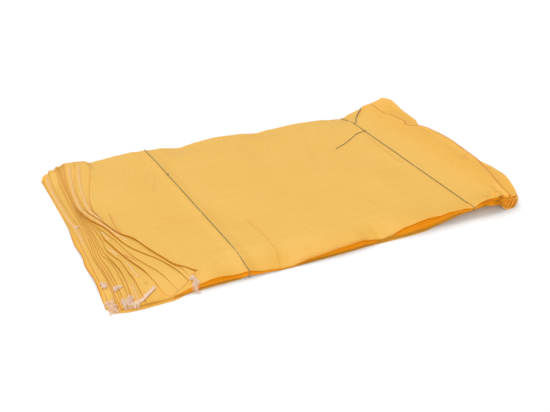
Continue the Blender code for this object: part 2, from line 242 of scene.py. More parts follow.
# Long edges as (x, y) points. The top sack's back corner is pulled in past the right twine
BACK_EDGE = ((0.00, 0.554), (0.20, 0.559), (0.50, 0.553), (0.95, 0.553))
TOP_BACK_EDGE = ((0.00, 0.564), (0.40, 0.560), (0.745, 0.548), (0.80, 0.515), (0.84, 0.490), (0.88, 0.466))
FRONT_EDGE = (
    (0.00, 0.010), (0.03, -0.002), (0.06, -0.0065), (0.110, -0.0065), (0.140, -0.001), (0.27, 0.000),
    (0.345, -0.005), (0.44, -0.005), (0.52, -0.003), (0.60, -0.004), (0.68, 0.000), (0.81, 0.000),
    (0.87, -0.006), (0.95, -0.002),
)
LEDGE_EDGE = (
    (0.00, 0.018), (0.009, 0.002), (0.021, -0.004), (0.034, -0.0083), (0.061, -0.0105), (0.118, -0.010),
    (0.140, -0.002), (0.17, 0.000), (0.27, 0.001), (0.295, 0.003), (0.325, -0.0045), (0.46, -0.005),
    (0.52, -0.003), (0.56, -0.0045), (0.63, -0.005), (0.68, 0.000), (0.81, 0.000), (0.87, -0.004),
    (0.95, -0.002),
)
TOP_FRONT_EDGE = (
    (0.10, -0.006), (0.13, -0.002), (0.20, 0.002), (0.345, -0.005), (0.44, -0.005), (0.54, -0.001),
    (0.60, 0.000), (0.95, 0.000),
)

# The lowest sacks reach out as a ledge. Those between them and the two top ones draw back inside the gaps
# by these lengths, in turn
LEDGE_SACKS = (0, 1)
RECESSES = (0.004, 0.009, 0.006, 0.011, 0.007)
RECESS_GAPS = (
    (0.14, 0.18, 0.23, 0.262), (0.345, 0.39, 0.51, 0.545), (0.56, 0.62, 0.72, 0.765),
    (0.785, 0.81, 0.83, 0.85),
)

# Every other sack draws back at the front right corner, so the lips of the rest stand out there
LIP_RECESS = 0.0045
LIP_RECESS_X = (0.842, 0.856)

# How far each front edge lies behind the one below, and how far edges and ends wander, with the seeds
FRONT_STEP = 0.0003
EDGE_DRIFT, FRONT_SEED, BACK_SEED = 0.0020, 80, 90
HEM_DRIFT, HEM_SEED = 0.0012, 40
MOUTH_DRIFT, MOUTH_SEED = 0.003, 60

# Ripples of the whole stack, of each sheet as a share of its room, and of the top sack alone, with their
# longest and shortest wave. The first and the last grow from nothing over a reach from twines and edges
RUMPLE, RUMPLE_SEED = 0.0009, 11
RIPPLE_SHARE, RIPPLE_LENGTHS, RIPPLE_SEED = 0.08, (0.16, 0.05), 200
TOP_RIPPLE, TOP_RIPPLE_LENGTHS, TOP_RIPPLE_SEED = 0.0003, (0.12, 0.02), 400
CALM_REACH = 0.05

# The back left corners fan out: how far each steps back from the one below, to the most that any does
CORNER_STEP = 0.005
CORNER_REACH = 0.020
CORNER_X = (0.03, 0.14)
CORNER_BULGE = 0.9

# A sheet fills a share of the room that the stack gives it, more along its long edges, between these
# limits. It may get thicker at the loose front right corner
FILL = 0.50
EDGE_FILL = 0.85
SHEET_LIMITS = (0.00038, 0.0009)
LOOSE_CORNER_X = (0.79, 0.85)
LOOSE_LIMIT = 0.0021
FOLD_ROUND = 0.0007
FLOOR_GAP = 0.0001

# The pocket behind each mouth closes just past its depth. The mouths are pressed shut up to these y
POCKET_DEPTH = 0.06
POCKET_CLOSE = 1.02
SHUT_Y = (0.020, 0.050)

# The hem: its turned-in band, which is thicker and ends in a short slope, and how far in its seam runs
HEM_BAND = 0.021
HEM_EXTRA = 0.0001
HEM_SLOPE = 0.0008
SEAM_OFFSET = 0.0100
LEAST_SEAM_OFFSET = 0.002

# The stretches of y where a hem's seam shows, by sack, and the step between points of a stitch
SEAMS = {
    1: ((0.23, 0.545),),
    7: ((0.004, 0.052),),
    8: ((0.068, 0.119), (0.150, 0.178)),
    9: ((0.208, 0.240),),
    11: ((0.190, 0.545),),
    12: ((0.240, 0.545),),
}
STITCH_STEP = 0.00085

# Grid of a sack: distances from a hem or mouth and from a long edge, then even steps in a left run, a
# middle run and a right run. The left one starts at about this x, and the right one is about this long
END_STEPS = (
    0.0, 0.00025, 0.0007, 0.0015, 0.0035, 0.006, 0.009, 0.012, 0.015, 0.018, 0.0205, 0.0222, 0.026, 0.030,
)
SIDE_STEPS = (0.0, 0.00012, 0.0004, 0.0009, 0.002, 0.0045, 0.008, 0.012, 0.017, 0.023, 0.030)
MIDDLE_X = (0.235, 0.800)
LEFT_RUN_X = 0.10
RIGHT_RUN = 0.10
POCKET_STEPS = (0.0, 0.004, 0.015, 0.032, 0.048, POCKET_DEPTH)
FINE_STEP = 0.0042
PLAIN_STEP = 0.0090
ACROSS_STEP = 0.0090
FAN_STEP = 0.0065
FIRST_FAN_SACK = 9

# Loose ends of the right twine's knots, as (x, y) points over the top sack, their radii, the length between
# their rings, and how many points on each side their height is evened over
TWINE_RADIUS = 0.001
LONG_TAIL = (
    (0.7715, 0.434), (0.760, 0.4335), (0.745, 0.428), (0.722, 0.412), (0.692, 0.393), (0.658, 0.376),
)
PAIR_TAIL = ((0.7790, 0.486), (0.790, 0.506), (0.806, 0.526), (0.829, 0.546))
PAIR_RADIUS = 0.0015
TAIL_STEP = 0.0015
TAIL_REACH = 4

# How high the middle of a knot lies over the top sack, and its size and thread radius
KNOT_HEIGHT = 0.0014
KNOT_SIZE = 0.00085

# Points of a twine over the bundle, how many on each side its taut stretches are evened over, and the
# length between its rings
TIE_POINTS = 120
TAUT_REACH = 8
TIE_STEP = 0.001

# Tufts of frayed thread: centre, half lengths along x and y, height and count of the curled threads. A
# tuft's threads start a little above the cloth
TUFTS = (
    ((0.0152, 0.078), (0.006, 0.013), 0.004, 20),
    ((0.0334, 0.0535), (0.009, 0.004), 0.003, 14),
    ((0.0117, 0.0146), (0.008, 0.020), 0.006, 38),
    ((0.0400, 0.010), (0.010, 0.015), 0.006, 60),
    ((0.0500, -0.001), (0.007, 0.005), 0.003, 14),
    ((0.1620, 0.006), (0.0065, 0.016), 0.005, 40),
    ((0.9100, 0.560), (0.003, 0.003), 0.003, 4),
    ((0.0180, 0.301), (0.006, 0.004), 0.002, 8),
)
TUFT_LIFT = 0.0005
TUFT_SEED = 500

# The loose chain of sewing thread: its line as (x, y) points, its strands, the length between their rings,
# how far they swing to the sides and up, and the height of their middle over the cloth
CHAIN_TAIL = ((0.0469, -0.0008), (0.0604, 0.0045), (0.0778, 0.0175), (0.0940, 0.0305))
CHAIN_STRANDS = 4
CHAIN_STEP = 0.0008
CHAIN_SWING, CHAIN_RISE = 0.0030, 0.0012
CHAIN_HEIGHT = 0.0018

# Sharp creases by sack: (points, how deep the painted shade line gets along them), each also a dent in the
# bump. A crease fades in and out between these shares of its length
CREASES = {
    13: (
        (((0.089, 0.308), (0.086, 0.271), (0.085, 0.242), (0.087, 0.224), (0.093, 0.206)), 0.80),
        (((0.238, 0.477), (0.200, 0.419)), 0.22),
        (((0.230, 0.429), (0.200, 0.357), (0.189, 0.340)), 0.22),
        (((0.326, 0.170), (0.334, 0.100), (0.336, 0.030), (0.320, -0.020)), 0.40),
        (((0.903, 0.218), (0.890, 0.191), (0.879, 0.167)), 0.80),
        (((0.874, 0.193), (0.870, 0.175)), 0.50),
        (((0.843, 0.182), (0.839, 0.168)), 0.35),
        (((0.763, 0.415), (0.756, 0.318), (0.756, 0.225)), 0.35),
        (((0.864, 0.381), (0.886, 0.371), (0.892, 0.338)), 0.45),
        (((0.350, -0.001), (0.390, -0.001), (0.440, -0.001), (0.500, 0.0005), (0.545, 0.003)), 0.60),
        (((0.802, 0.011), (0.830, 0.0165), (0.857, 0.0205)), 0.45),
        (((0.820, 0.0045), (0.840, 0.0065), (0.858, 0.0085)), 0.45),
        (((0.620, 0.470), (0.560, 0.300), (0.545, 0.150)), 0.12),
        (((0.470, 0.480), (0.440, 0.330), (0.452, 0.200)), 0.12),
    ),
    9: (
        (((0.070, 0.149), (0.078, 0.136), (0.085, 0.127), (0.090, 0.112)), 0.75),
    ),
    8: (
        (((0.081, 0.047), (0.083, 0.043)), 0.90),
        (((0.082, 0.030), (0.092, 0.021)), 0.80),
        (((0.075, -0.002), (0.090, -0.007)), 0.80),
    ),
}
CREASE_REACH = 0.006
CREASE_ENDS = (-0.001, 0.12, 0.80, 1.001)

# How much painted shade deepens the cloth's colour at the right end, along the front edge, on the sacks
# below the top one, on the rims of the long edges and on sides between two slopes
RIGHT_SHADE, RIGHT_SHADE_X = 0.52, (0.74, 0.86)
FRONT_SHADE, FRONT_SHADE_Y = 0.48, (-0.01, 0.09)
LOWER_SHADE = 0.28
RIM_SHADE, RIM_REACH = 0.6, 0.0015
STEEP_SLOPES = (0.15, 1.3)
TOP_STEEP_SHADE = 0.35

# How far under the sacks above cloth has to lie to be in their shade, and how far further on the ledge
TUCK_REACH = (-0.0015, 0.003)
LEDGE_LIP = 0.004

# The lips at the front right corner get less of this painted shade than other steep sides do
LIP_X, LIP_Y, LIP_CALM = (0.84, 0.86), (0.03, 0.09), 0.6

# How deep the painted shade line along each hem is, as (y, depth) points
HEM_SHADE_LINES = {
    13: ((-0.02, 1.0), (0.03, 1.0), (0.05, 0.8), (0.12, 0.6), (0.15, 0.1), (0.20, 0.2), (0.24, 0.5),
         (0.30, 0.5), (0.335, 1.0), (0.36, 1.0), (0.37, 0.75), (0.50, 0.75), (0.55, 0.3)),
    12: ((0.15, 0.0), (0.19, 0.5), (0.26, 0.5), (0.32, 0.4), (0.55, 0.5)),
    11: ((-0.02, 0.5), (0.14, 0.5), (0.18, 0.8), (0.24, 1.0), (0.34, 0.9), (0.45, 0.7), (0.55, 0.5)),
    10: ((-0.02, 0.3), (0.20, 0.45), (0.25, 0.5), (0.32, 0.3), (0.46, 0.3), (0.55, 0.5)),
    9: ((-0.02, 0.7), (0.06, 0.6), (0.09, 0.9), (0.22, 1.0), (0.26, 0.5), (0.32, 0.3), (0.46, 0.3),
        (0.55, 0.5)),
    8: ((-0.02, 0.7), (0.20, 0.6), (0.32, 0.3), (0.46, 0.3), (0.55, 0.5)),
    7: ((-0.02, 0.8), (0.16, 0.6), (0.55, 0.5)),
}
PLAIN_HEM_SHADE_LINE = ((-0.02, 0.8), (0.22, 0.7), (0.32, 0.35), (0.44, 0.35), (0.50, 0.6), (0.55, 0.6))
LINE_REACH = 0.0030

# The painted shade line along a mouth lies on the top sack's own rim, and elsewhere on the sack below, where
# the mouth above shades it. A distance is told to the material at this scale, so a smaller one makes a wider
# line
MOUTH_LINE_REACH = 0.012
MOUTH_LINE_FADE = (0.0060, 0.0096)
MOUTH_LINE_SCALE = 0.9
TOP_MOUTH_SCALE = 0.4

# How dark the painted shade on the steep side of the lowest sack is, and how much less of the painted deep
# colour and glow it gets
STEEP_SHADE = 0.70
STEEP_PALE = 0.9


def smooth_step(low, high, value):
    """0 below low, 1 above high, and a cubic with level ends between them."""
    share = np.clip((value - low) / (high - low), 0.0, 1.0)
    return share * share * (3.0 - 2.0 * share)


def window(ends, value):
    """Rises from 0 to 1 between the first two ends and falls back to 0 between the last two."""
    return smooth_step(ends[0], ends[1], value) * (1 - smooth_step(ends[2], ends[3], value))


def profile(points, x):
    """Height at x on a curve through (x, height) points that is level at each of them."""
    height = np.full(np.shape(x), float(points[0][1]))
    for (start, low), (end, high) in zip(points, points[1:]):
        height = height + (high - low) * smooth_step(start, end, x)
    return height


def through(points, at):
    """A smooth line through (place, value) points: cubic Hermite pieces that never swing past a point.

    Each inner slope is the harmonic mean of its two neighbours' slopes, or level where they disagree.
    """
    places, values = np.array(points, float).T
    steps = np.diff(values) / np.diff(places)
    product, total = steps[:-1] * steps[1:], steps[:-1] + steps[1:]
    inner = np.where(product > 0, 2 * product / np.where(product > 0, total, 1.0), 0.0)
    slopes = np.concatenate([steps[:1], inner, steps[-1:]])
    at = np.clip(at, places[0], places[-1])
    index = np.clip(np.searchsorted(places, at) - 1, 0, len(places) - 2)
    width = places[index + 1] - places[index]
    share = (at - places[index]) / width
    rise = share * share * (3 - 2 * share)
    lead = share * (1 - share) ** 2 * width * slopes[index]
    trail = share * share * (1 - share) * width * slopes[index + 1]
    return values[index] * (1 - rise) + values[index + 1] * rise + lead - trail


def waves(seed, x, y, count=6, longest=0.30, shortest=0.08):
    """A gentle rumple, mostly between -1 and 1: a few plane waves with seeded turns and phases."""
    draw = np.random.default_rng(seed)
    total = 0.0
    for length in np.geomspace(longest, shortest, count):
        turn, phase = draw.uniform(0, 2 * math.pi, 2)
        total = total + np.sin(2 * math.pi * (x * math.cos(turn) + y * math.sin(turn)) / length + phase)
    return total / math.sqrt(count)


def from_line(points, x, y):
    """Distance from each place to a polyline, with its side as the sign, and how far along it that lies.

    The second value runs from 0 to 1.
    """
    points = np.array(points)
    lengths = np.linalg.norm(np.diff(points, axis=0), axis=1)
    travelled = np.concatenate([[0], np.cumsum(lengths)])
    nearest, along = np.full(np.shape(x), np.inf), np.zeros(np.shape(x))
    for start, end, length, before in zip(points, points[1:], lengths, travelled):
        step = (end - start) / length
        ahead = np.clip((x - start[0]) * step[0] + (y - start[1]) * step[1], 0, length)
        away = np.hypot(x - start[0] - ahead * step[0], y - start[1] - ahead * step[1])
        side = np.where((x - start[0]) * step[1] > (y - start[1]) * step[0], 1.0, -1.0)
        closer = away < np.abs(nearest)
        nearest = np.where(closer, away * side, nearest)
        along = np.where(closer, (before + ahead) / travelled[-1], along)
    return nearest, along


def tie_x(tie, y):
    """x of a twine at y."""
    return tie[0] + (tie[1] - tie[0]) * np.asarray(y) / SACK_WIDTH


def edge_weights(y):
    """How much the front and back profiles count at y. The rest is the middle profile's."""
    front = np.exp(-((np.maximum(y, 0.0) / EDGE_FADE) ** 2))
    back = np.exp(-((np.maximum(SACK_WIDTH - y, 0.0) / EDGE_FADE) ** 2))
    return front, back


def blended(front, middle, back, x, y):
    """Height at (x, y) between the front, middle and back profiles."""
    near, far = edge_weights(y)
    return near * profile(front, x) + (1 - near - far) * profile(middle, x) + far * profile(back, x)


def underside(x, y):
    """Height of the bundle's underside: on the floor, over each twine, and arched at the right end."""
    arch = MM * blended(FRONT_UNDERSIDE, MIDDLE_UNDERSIDE, BACK_UNDERSIDE, x, y)
    reach = np.minimum(np.abs(x - tie_x(LEFT_TIE_X, y)), np.abs(x - tie_x(RIGHT_TIE_X, y)))
    return np.maximum(arch, TIE_GROOVE * (1 - smooth_step(0, GROOVE_REACH, reach)))


def layer_share(number, x, y):
    """The share of the air that lies below a sack.

    It is even, but for the gap under the upper group and the bulging corners at the back left.
    """
    near, far = edge_weights(y)
    gap = GAP_SHARE * near * smooth_step(*GAP_LEFT_X, x) * (1 - smooth_step(*GAP_RIGHT_X, x))
    lifted = 1.0 if number >= UPPER_GROUP else HANGING.get(number, 0.0) * window(HANGING_X, x)
    bulge = CORNER_BULGE * far * (1 - smooth_step(*CORNER_X, x))
    return (1 - gap) * (number / TOP) ** (1 - bulge) + gap * lifted


def steep_side(x, y):
    """Lift of the lowest sack above its steep side, and of all that lies on it."""
    return STEEP_HEIGHT * window(STEEP_Y, y) * smooth_step(*STEEP_X, x) * (1 - smooth_step(*STEEP_FADE_X, x))


def lifts(number, x, y):
    """Height that the hems and mouths standing off below a sack, and its own, add to it."""
    total = np.zeros(np.shape(x))
    for lifted, height, stretch in HEM_LIFTS:
        if lifted <= number:
            behind = smooth_step(LIFT_START, LIFT_FADE, x - sewn_end(lifted, y))
            total += height * window(stretch, y) * (1 - behind)
    for lowest, highest, height in MOUTH_LIFTS:
        for lifted in range(lowest, min(number, highest) + 1):
            total += height * smooth_step(-LIFT_FADE, -LIFT_START, x - mouth_end(lifted, y))
    return total


def calm(x, y):
    """How free the stack is to rumple: not at the twines and the long edges, fully a little further in."""
    near, far = edge_weights(y)
    reach = np.minimum(np.abs(x - tie_x(LEFT_TIE_X, y)), np.abs(x - tie_x(RIGHT_TIE_X, y)))
    return (1 - near - far) * smooth_step(0.0, CALM_REACH, reach)


def level(number, x, y):
    """Height of the middle of a sack's sheet at (x, y), with the stack's even rumple."""
    curl = CURL_SHARE * smooth_step(*CURL_X, x) * (1 - smooth_step(*CURL_Y, y))
    air = MM * blended(FRONT_AIR, MIDDLE_AIR, BACK_AIR, x, y) * (1 - curl)
    loose = 1 - smooth_step(*LOOSE_LEFT_X, x) + smooth_step(*LOOSE_RIGHT_X, x)
    pitch = LAYER_PITCH + (LOOSE_PITCH - LAYER_PITCH) * loose
    near, _ = edge_weights(y)
    pitch = pitch * (1 - near * (1 - profile(FRONT_PRESS, x)))
    rumple = RUMPLE * (number / TOP) * waves(RUMPLE_SEED, x, y) * calm(x, y)
    stack = pitch * number + air * layer_share(number, x, y) + rumple + steep_side(x, y)
    return underside(x, y) + SHEET_THICKNESS / 2 + stack + lifts(number, x, y)


def room(number, x, y):
    """The least distance from a sack's sheet to the sheets above and below it."""
    here = level(number, x, y)
    gaps = [np.abs(level(other, x, y) - here) for other in (number - 1, number + 1) if 0 <= other <= TOP]
    return np.min(gaps, axis=0)


def drift(number, along, seed, size):
    """A sack's own wander along an edge: a slow sine of seeded length and phase, and a seeded offset."""
    draw = np.random.default_rng(seed + number)
    length, phase, offset = draw.uniform(0.25, 0.55), draw.uniform(0, 2 * math.pi), draw.uniform(-1, 1)
    return size * (0.5 * offset + 0.5 * np.sin(2 * math.pi * along / length + phase))


def sewn_end(number, y):
    """x of a sack's sewn end at y, worked out between the two sacks that set the fan around it."""
    if number in SEWN_ENDS:
        return through(SEWN_ENDS[number], y)
    below = max(key for key in SEWN_ENDS if key < number)
    above = min(key for key in SEWN_ENDS if key > number)
    share = (number - below) / (above - below)
    even = through(SEWN_ENDS[below], y) * (1 - share) + through(SEWN_ENDS[above], y) * share
    return even + drift(number, y, HEM_SEED, HEM_DRIFT)


def mouth_end(number, y):
    """x of a sack's open mouth at y. In each group the lower mouths reach further out.

    They do so most at the front corner, and every other one is drawn back there.
    """
    if number == TOP:
        return SACK_LENGTH - through(TOP_MOUTH, y)
    corner = 1 - smooth_step(*MOUTH_CORNER_Y, y)
    drawn_back = LIP_RECESS * (number % 2) * corner
    if number >= LOWEST_UPPER_MOUTH:
        step = UPPER_MOUTH_STEP * (TOP - 1 - number) * corner
        wander = np.abs(drift(number, y, MOUTH_SEED, MOUTH_DRIFT)) * (1 - corner)
        return SACK_LENGTH - through(UPPER_MOUTH, y) + step - drawn_back - wander
    stagger = MOUTH_STAGGER * number * (EVEN_STAGGER + (1 - EVEN_STAGGER) * corner)
    return SACK_LENGTH - through(LOWER_MOUTH, y) - stagger - drawn_back


def front_edge(number, x):
    """y of a sack's folded front edge at x. The inner sacks draw back where the stack gapes."""
    if number == TOP:
        return through(TOP_FRONT_EDGE, x)
    if number in LEDGE_SACKS:
        return through(LEDGE_EDGE, x)
    wander = np.abs(drift(number, x, FRONT_SEED, EDGE_DRIFT))
    edge = through(FRONT_EDGE, x) + FRONT_STEP * number + wander
    edge = edge + LIP_RECESS * (number % 2) * smooth_step(*LIP_RECESS_X, x)
    if number == TOP - 1:
        return edge
    gaping = np.max([window(ends, x) for ends in RECESS_GAPS], axis=0)
    return edge + RECESSES[number % len(RECESSES)] * gaping


def back_edge(number, x):
    """y of a sack's folded back edge at x. At the left corner each lies a step behind the one below."""
    if number == TOP:
        return through(TOP_BACK_EDGE, x)
    step = min(CORNER_STEP * number, CORNER_REACH)
    corner = ((CORNER_X[0], BACK_EDGE[0][1] + step), (CORNER_X[1], BACK_EDGE[0][1] + step / 3))
    return through((*corner, *BACK_EDGE[1:]), x) - np.abs(drift(number, x, BACK_SEED, EDGE_DRIFT))


def end_distance(number, x, y):
    """How far a place is from a sack's hem and its mouth, across them: less than along x on a slant."""
    step = 0.001
    found = []
    for find, side in ((sewn_end, 1), (mouth_end, -1)):
        slant = (find(number, y + step) - find(number, y - step)) / (2 * step)
        found.append(side * (x - find(number, y)) / np.hypot(1, slant))
    return found


def line_marks(number, x, y):
    """Signed distance to a sack's nearest crease, hem or mouth line of painted shade, and how deep that
    painted shade is.

    The depth is 0 beyond a line's reach, so the sign may change there unseen.
    """
    nearest, depth = np.full(np.shape(x), CREASE_REACH), np.zeros(np.shape(x))
    for points, deep in CREASES.get(number, ()):
        away, along = from_line(points, x, y)
        closer = np.abs(away) < np.abs(nearest)
        nearest = np.where(closer, away, nearest)
        depth = np.where(closer, deep * window(CREASE_ENDS, along), depth)
    inside, short = end_distance(number, x, y)
    places, depths = np.array(HEM_SHADE_LINES.get(number, PLAIN_HEM_SHADE_LINE)).T
    at_hem = inside < LINE_REACH
    nearest = np.where(at_hem, inside, nearest)
    depth = np.where(at_hem, np.interp(y, places, depths), depth)
    scale = TOP_MOUTH_SCALE
    if number < TOP:
        _, short = end_distance(number + 1, x, y)
        scale = MOUTH_LINE_SCALE
    at_mouth = np.abs(short) < MOUTH_LINE_REACH
    nearest = np.where(at_mouth, short * scale, nearest)
    depth = np.where(at_mouth, 1 - smooth_step(*MOUTH_LINE_FADE, np.abs(short)), depth)
    # The steep side of the lowest sack is painted as one wide line of shade
    if number == 0:
        steep = window(STEEP_Y, y) * (1 - smooth_step(*STEEP_X, x))
        nearest, depth = nearest * (1 - steep), np.maximum(depth, STEEP_SHADE * steep)
    return nearest, depth


def sheet(number, x, y):
    """Middle height and half thickness of a sack's sheet at (x, y), before its edges are rounded.

    The sheet fills a share of its room and is a little thicker in the hem's turned-in band.
    """
    free = room(number, x, y)
    inside = x - sewn_end(number, y)
    near, far = edge_weights(y)
    loose = near * smooth_step(*LOOSE_CORNER_X, x)
    most = SHEET_LIMITS[1] + (LOOSE_LIMIT - SHEET_LIMITS[1]) * loose
    half = 0.5 * np.clip((FILL + (EDGE_FILL - FILL) * (near + far)) * free, SHEET_LIMITS[0], most)
    half = half + 0.5 * HEM_EXTRA * (1 - smooth_step(HEM_BAND - HEM_SLOPE, HEM_BAND + HEM_SLOPE, inside))
    ripple = waves(RIPPLE_SEED + number, x, y, 4, *RIPPLE_LENGTHS)
    middle = level(number, x, y) + RIPPLE_SHARE * free * ripple
    if number == TOP:
        middle = middle + TOP_RIPPLE * waves(TOP_RIPPLE_SEED, x, y, 8, *TOP_RIPPLE_LENGTHS) * calm(x, y)
    if number == 0:
        middle = np.maximum(middle, half + FLOOR_GAP)
    return middle, half


def slope_of(number, x, y):
    """How steep a sack's sheet is at (x, y), as rise over run."""
    step = 0.0005
    along = level(number, x + step, y) - level(number, x - step, y)
    across = level(number, x, y + step) - level(number, x, y - step)
    return np.hypot(along, across) / (2 * step)


def depth_under(above, x, y):
    """How far inside a sack's outline a place lies, negative outside it."""
    ends = np.minimum(x - sewn_end(above, y), mouth_end(above, y) - x)
    sides = np.minimum(y - front_edge(above, x), back_edge(above, x) - y)
    return np.minimum(ends, sides)


def painted_fold_shade(number, x, y):
    """How much painted shade deepens the cloth's colour, which also sets its painted glow: more where the
    sheet is steep or tucked under the sacks above.
    """
    corner = smooth_step(*LIP_X, x) * (1 - smooth_step(*LIP_Y, y))
    steep = smooth_step(*STEEP_SLOPES, slope_of(number, x, y)) * (TOP_STEEP_SHADE if number == TOP else 1.0)
    share = steep * (1 - LIP_CALM * corner)
    rim = np.minimum(y - front_edge(number, x), back_edge(number, x) - y)
    share = np.maximum(share, RIM_SHADE * (1 - smooth_step(0.0, RIM_REACH, rim)))
    share = np.maximum(share, RIGHT_SHADE * smooth_step(*RIGHT_SHADE_X, x))
    share = np.maximum(share, FRONT_SHADE * (1 - smooth_step(*FRONT_SHADE_Y, y)))
    if number < TOP:
        share = np.maximum(share, LOWER_SHADE)
    lip = LEDGE_LIP if number in LEDGE_SACKS else 0.0
    for above in range(number + 1, SACK_COUNT):
        tucked = smooth_step(lip + TUCK_REACH[0], lip + TUCK_REACH[1], depth_under(above, x, y))
        share = np.maximum(share, tucked)
    if number == 0:
        share = share * (1 - STEEP_PALE * window(STEEP_Y, y) * (1 - smooth_step(*STEEP_X, x)))
    return share


def top_of(number, x, y):
    """Height of a sack's upper face."""
    middle, half = sheet(number, x, y)
    return middle + half


def stack_top(x, y):
    """Height of whatever lies uppermost at (x, y): the highest sack that reaches it, or the floor."""
    height = np.zeros(np.shape(x))
    for number in range(SACK_COUNT):
        covered = depth_under(number, x, y) > 0
        height = np.where(covered, np.maximum(height, top_of(number, x, y)), height)
    return height


def even_steps(start, end, step):
    """Places from start to end, both left out, about a step apart."""
    count = max(2, round(abs(end - start) / step))
    return np.linspace(start, end, count + 1)[1:-1]


def across_places(step):
    """Places across a sack from its front fold to its back fold, close together near both."""
    near = np.array(SIDE_STEPS)
    return np.concatenate([near, even_steps(near[-1], SACK_WIDTH - near[-1], step), SACK_WIDTH - near[::-1]])


def end_line(find, number, across):
    """x of a hem or mouth for places across a sack, where y follows from the long edges at that very x."""
    x = find(number, across)
    for _ in range(4):
        front, back = front_edge(number, x), back_edge(number, x)
        x = find(number, front + across / SACK_WIDTH * (back - front))
    return x


def sack_plan(number):
    """Places of a sack's rings and rows seen from above, as arrays of rings by rows.

    A ring keeps its distance from the hem or the mouth near those, and straight shared stations between.
    """
    plain = number < FIRST_FAN_SACK
    top = number == TOP
    across = across_places(FINE_STEP if top else ACROSS_STEP if plain else FAN_STEP)
    sewn, mouth = (end_line(find, number, across) for find in (sewn_end, mouth_end))
    ends = np.array(END_STEPS)[:, None]
    low, high = MIDDLE_X
    fan_step = FINE_STEP if number >= FIRST_FAN_SACK else PLAIN_STEP
    share = np.concatenate([even_steps(0, 1, fan_step / (low - LEFT_RUN_X)), [1.0]])[:, None]
    left = sewn + ends[-1] + (low - sewn - ends[-1]) * share
    middle = np.concatenate([even_steps(low, high, FINE_STEP if top else PLAIN_STEP), [high]])[:, None]
    share = even_steps(0, 1, FINE_STEP / RIGHT_RUN)[:, None]
    right = high + (mouth - ends[-1] - high) * share
    x = np.concatenate([sewn + ends, left, middle + 0 * across, right, mouth - ends[::-1]])
    front, back = front_edge(number, x), back_edge(number, x)
    y = front + across / SACK_WIDTH * (back - front)
    return x, y, np.broadcast_to(across, x.shape), x - sewn


def rounded(distance, radius):
    """A quarter of a circle's height, from 0 at an edge to 1 at the radius."""
    share = np.clip(distance / radius, 0, 1)
    return np.sqrt(1 - (1 - share) ** 2)


def pocket_rings(number, front, back, mouth, ply):
    """Places, middle heights and half heights of the rings inside a pocket, from its mouth to its end."""
    depth = np.array(POCKET_STEPS)[:, None]
    x = mouth[0] - depth
    near, far = front + ply, back - ply
    y = np.clip(np.broadcast_to(mouth[1], x.shape), near, far)
    middle, half = sheet(number, x, y)
    height = np.maximum(half - ply, 0.0) * rounded(np.minimum(y - near, far - y), FOLD_ROUND)
    height = height * np.sqrt(np.clip(1 - (depth / (POCKET_DEPTH * POCKET_CLOSE)) ** 2, 0, 1))
    return x, y, middle, height


def sack_rings(number, sizes):
    """Rings of points round a sack, from its hem to its mouth and back into its pocket.

    The outer face lies half a thickness above and below the sheet's middle, and closes in quarter circles
    at the hem, at both folds and where the mouth is pressed shut. The pocket lies one ply inside it.
    """
    x, y, across, inside = sack_plan(number)
    middle, half = sheet(number, x, y)
    edge = np.minimum(across, SACK_WIDTH - across)
    shut = 1 - smooth_step(*SHUT_Y, y)
    height = half * rounded(edge, FOLD_ROUND) * rounded(inside, FOLD_ROUND)
    height = height * (1 - shut * (1 - rounded(x[-1] - x, FOLD_ROUND)))
    pocket = pocket_rings(number, y[-1, 0], y[-1, -1], (x[-1], y[-1]), sizes.ply_thickness)
    deep_x, deep_y, deep_middle, deep_height = pocket
    deep_height = deep_height * (1 - shut[-1])
    all_x, all_y = np.concatenate([x, deep_x]), np.concatenate([y, deep_y])
    all_middle, all_height = np.concatenate([middle, deep_middle]), np.concatenate([height, deep_height])
    all_across = np.concatenate([across, np.broadcast_to(across[0], deep_x.shape)])
    along = np.concatenate([inside, inside[-1] - np.array(POCKET_STEPS)[:, None]])
    above = np.stack([all_x, all_y, all_middle + all_height], axis=2)
    below = np.stack([all_x, all_y, all_middle - all_height], axis=2)
    place = np.stack([along, all_across, all_across * 0 + number], axis=2)
    away, line = line_marks(number, all_x, all_y)
    # The mark holds the painted shade lines and the share of painted shade. The inner face gets full painted
    # shade
    mark = np.stack([away, line, painted_fold_shade(number, all_x, all_y)], axis=2)
    under = np.stack([away, 0 * line, 0 * away + 1.0], axis=2)
    pairs = ((above, below), (place, place), (mark, under))
    return tuple(np.concatenate([upper, lower[:, -2:0:-1]], axis=1) for upper, lower in pairs)


def loft_faces(rings, around, rows):
    """Quads between neighbouring rings, and strips that close the first and the last ring like a zip."""
    index = np.arange(rings * around).reshape(rings, around)
    ahead = np.roll(index, -1, axis=1)
    walls = np.stack([index[:-1], index[1:], ahead[1:], ahead[:-1]], axis=2).reshape(-1, 4)
    upper = np.arange(rows)
    lower = np.concatenate([[0], np.arange(around - 1, rows - 1, -1), [rows - 1]])
    strip = np.stack([upper[:-1], upper[1:], lower[1:], lower[:-1]], axis=1)
    last = (rings - 1) * around
    quads = np.concatenate([walls, strip[1:-1], last + strip[1:-1, ::-1]])
    tips = np.array([strip[0, [0, 1, 2]], strip[-1, [0, 1, 3]]])
    return quads.tolist() + tips.tolist() + (last + tips[:, ::-1]).tolist()


def tube_faces(paths, points, sides, closed):
    """Quads along each tube, with a flat cap on each end unless it is closed on itself."""
    index = np.arange(paths * points * sides).reshape(paths, points, sides)
    start = index if closed else index[:, :-1]
    end = np.roll(index, -1, axis=1) if closed else index[:, 1:]
    walls = np.stack([start, np.roll(start, -1, axis=2), np.roll(end, -1, axis=2), end], axis=3)
    faces = walls.reshape(-1, 4).tolist()
    if not closed:
        faces += index[:, 0, ::-1].tolist() + index[:, -1].tolist()
    return faces


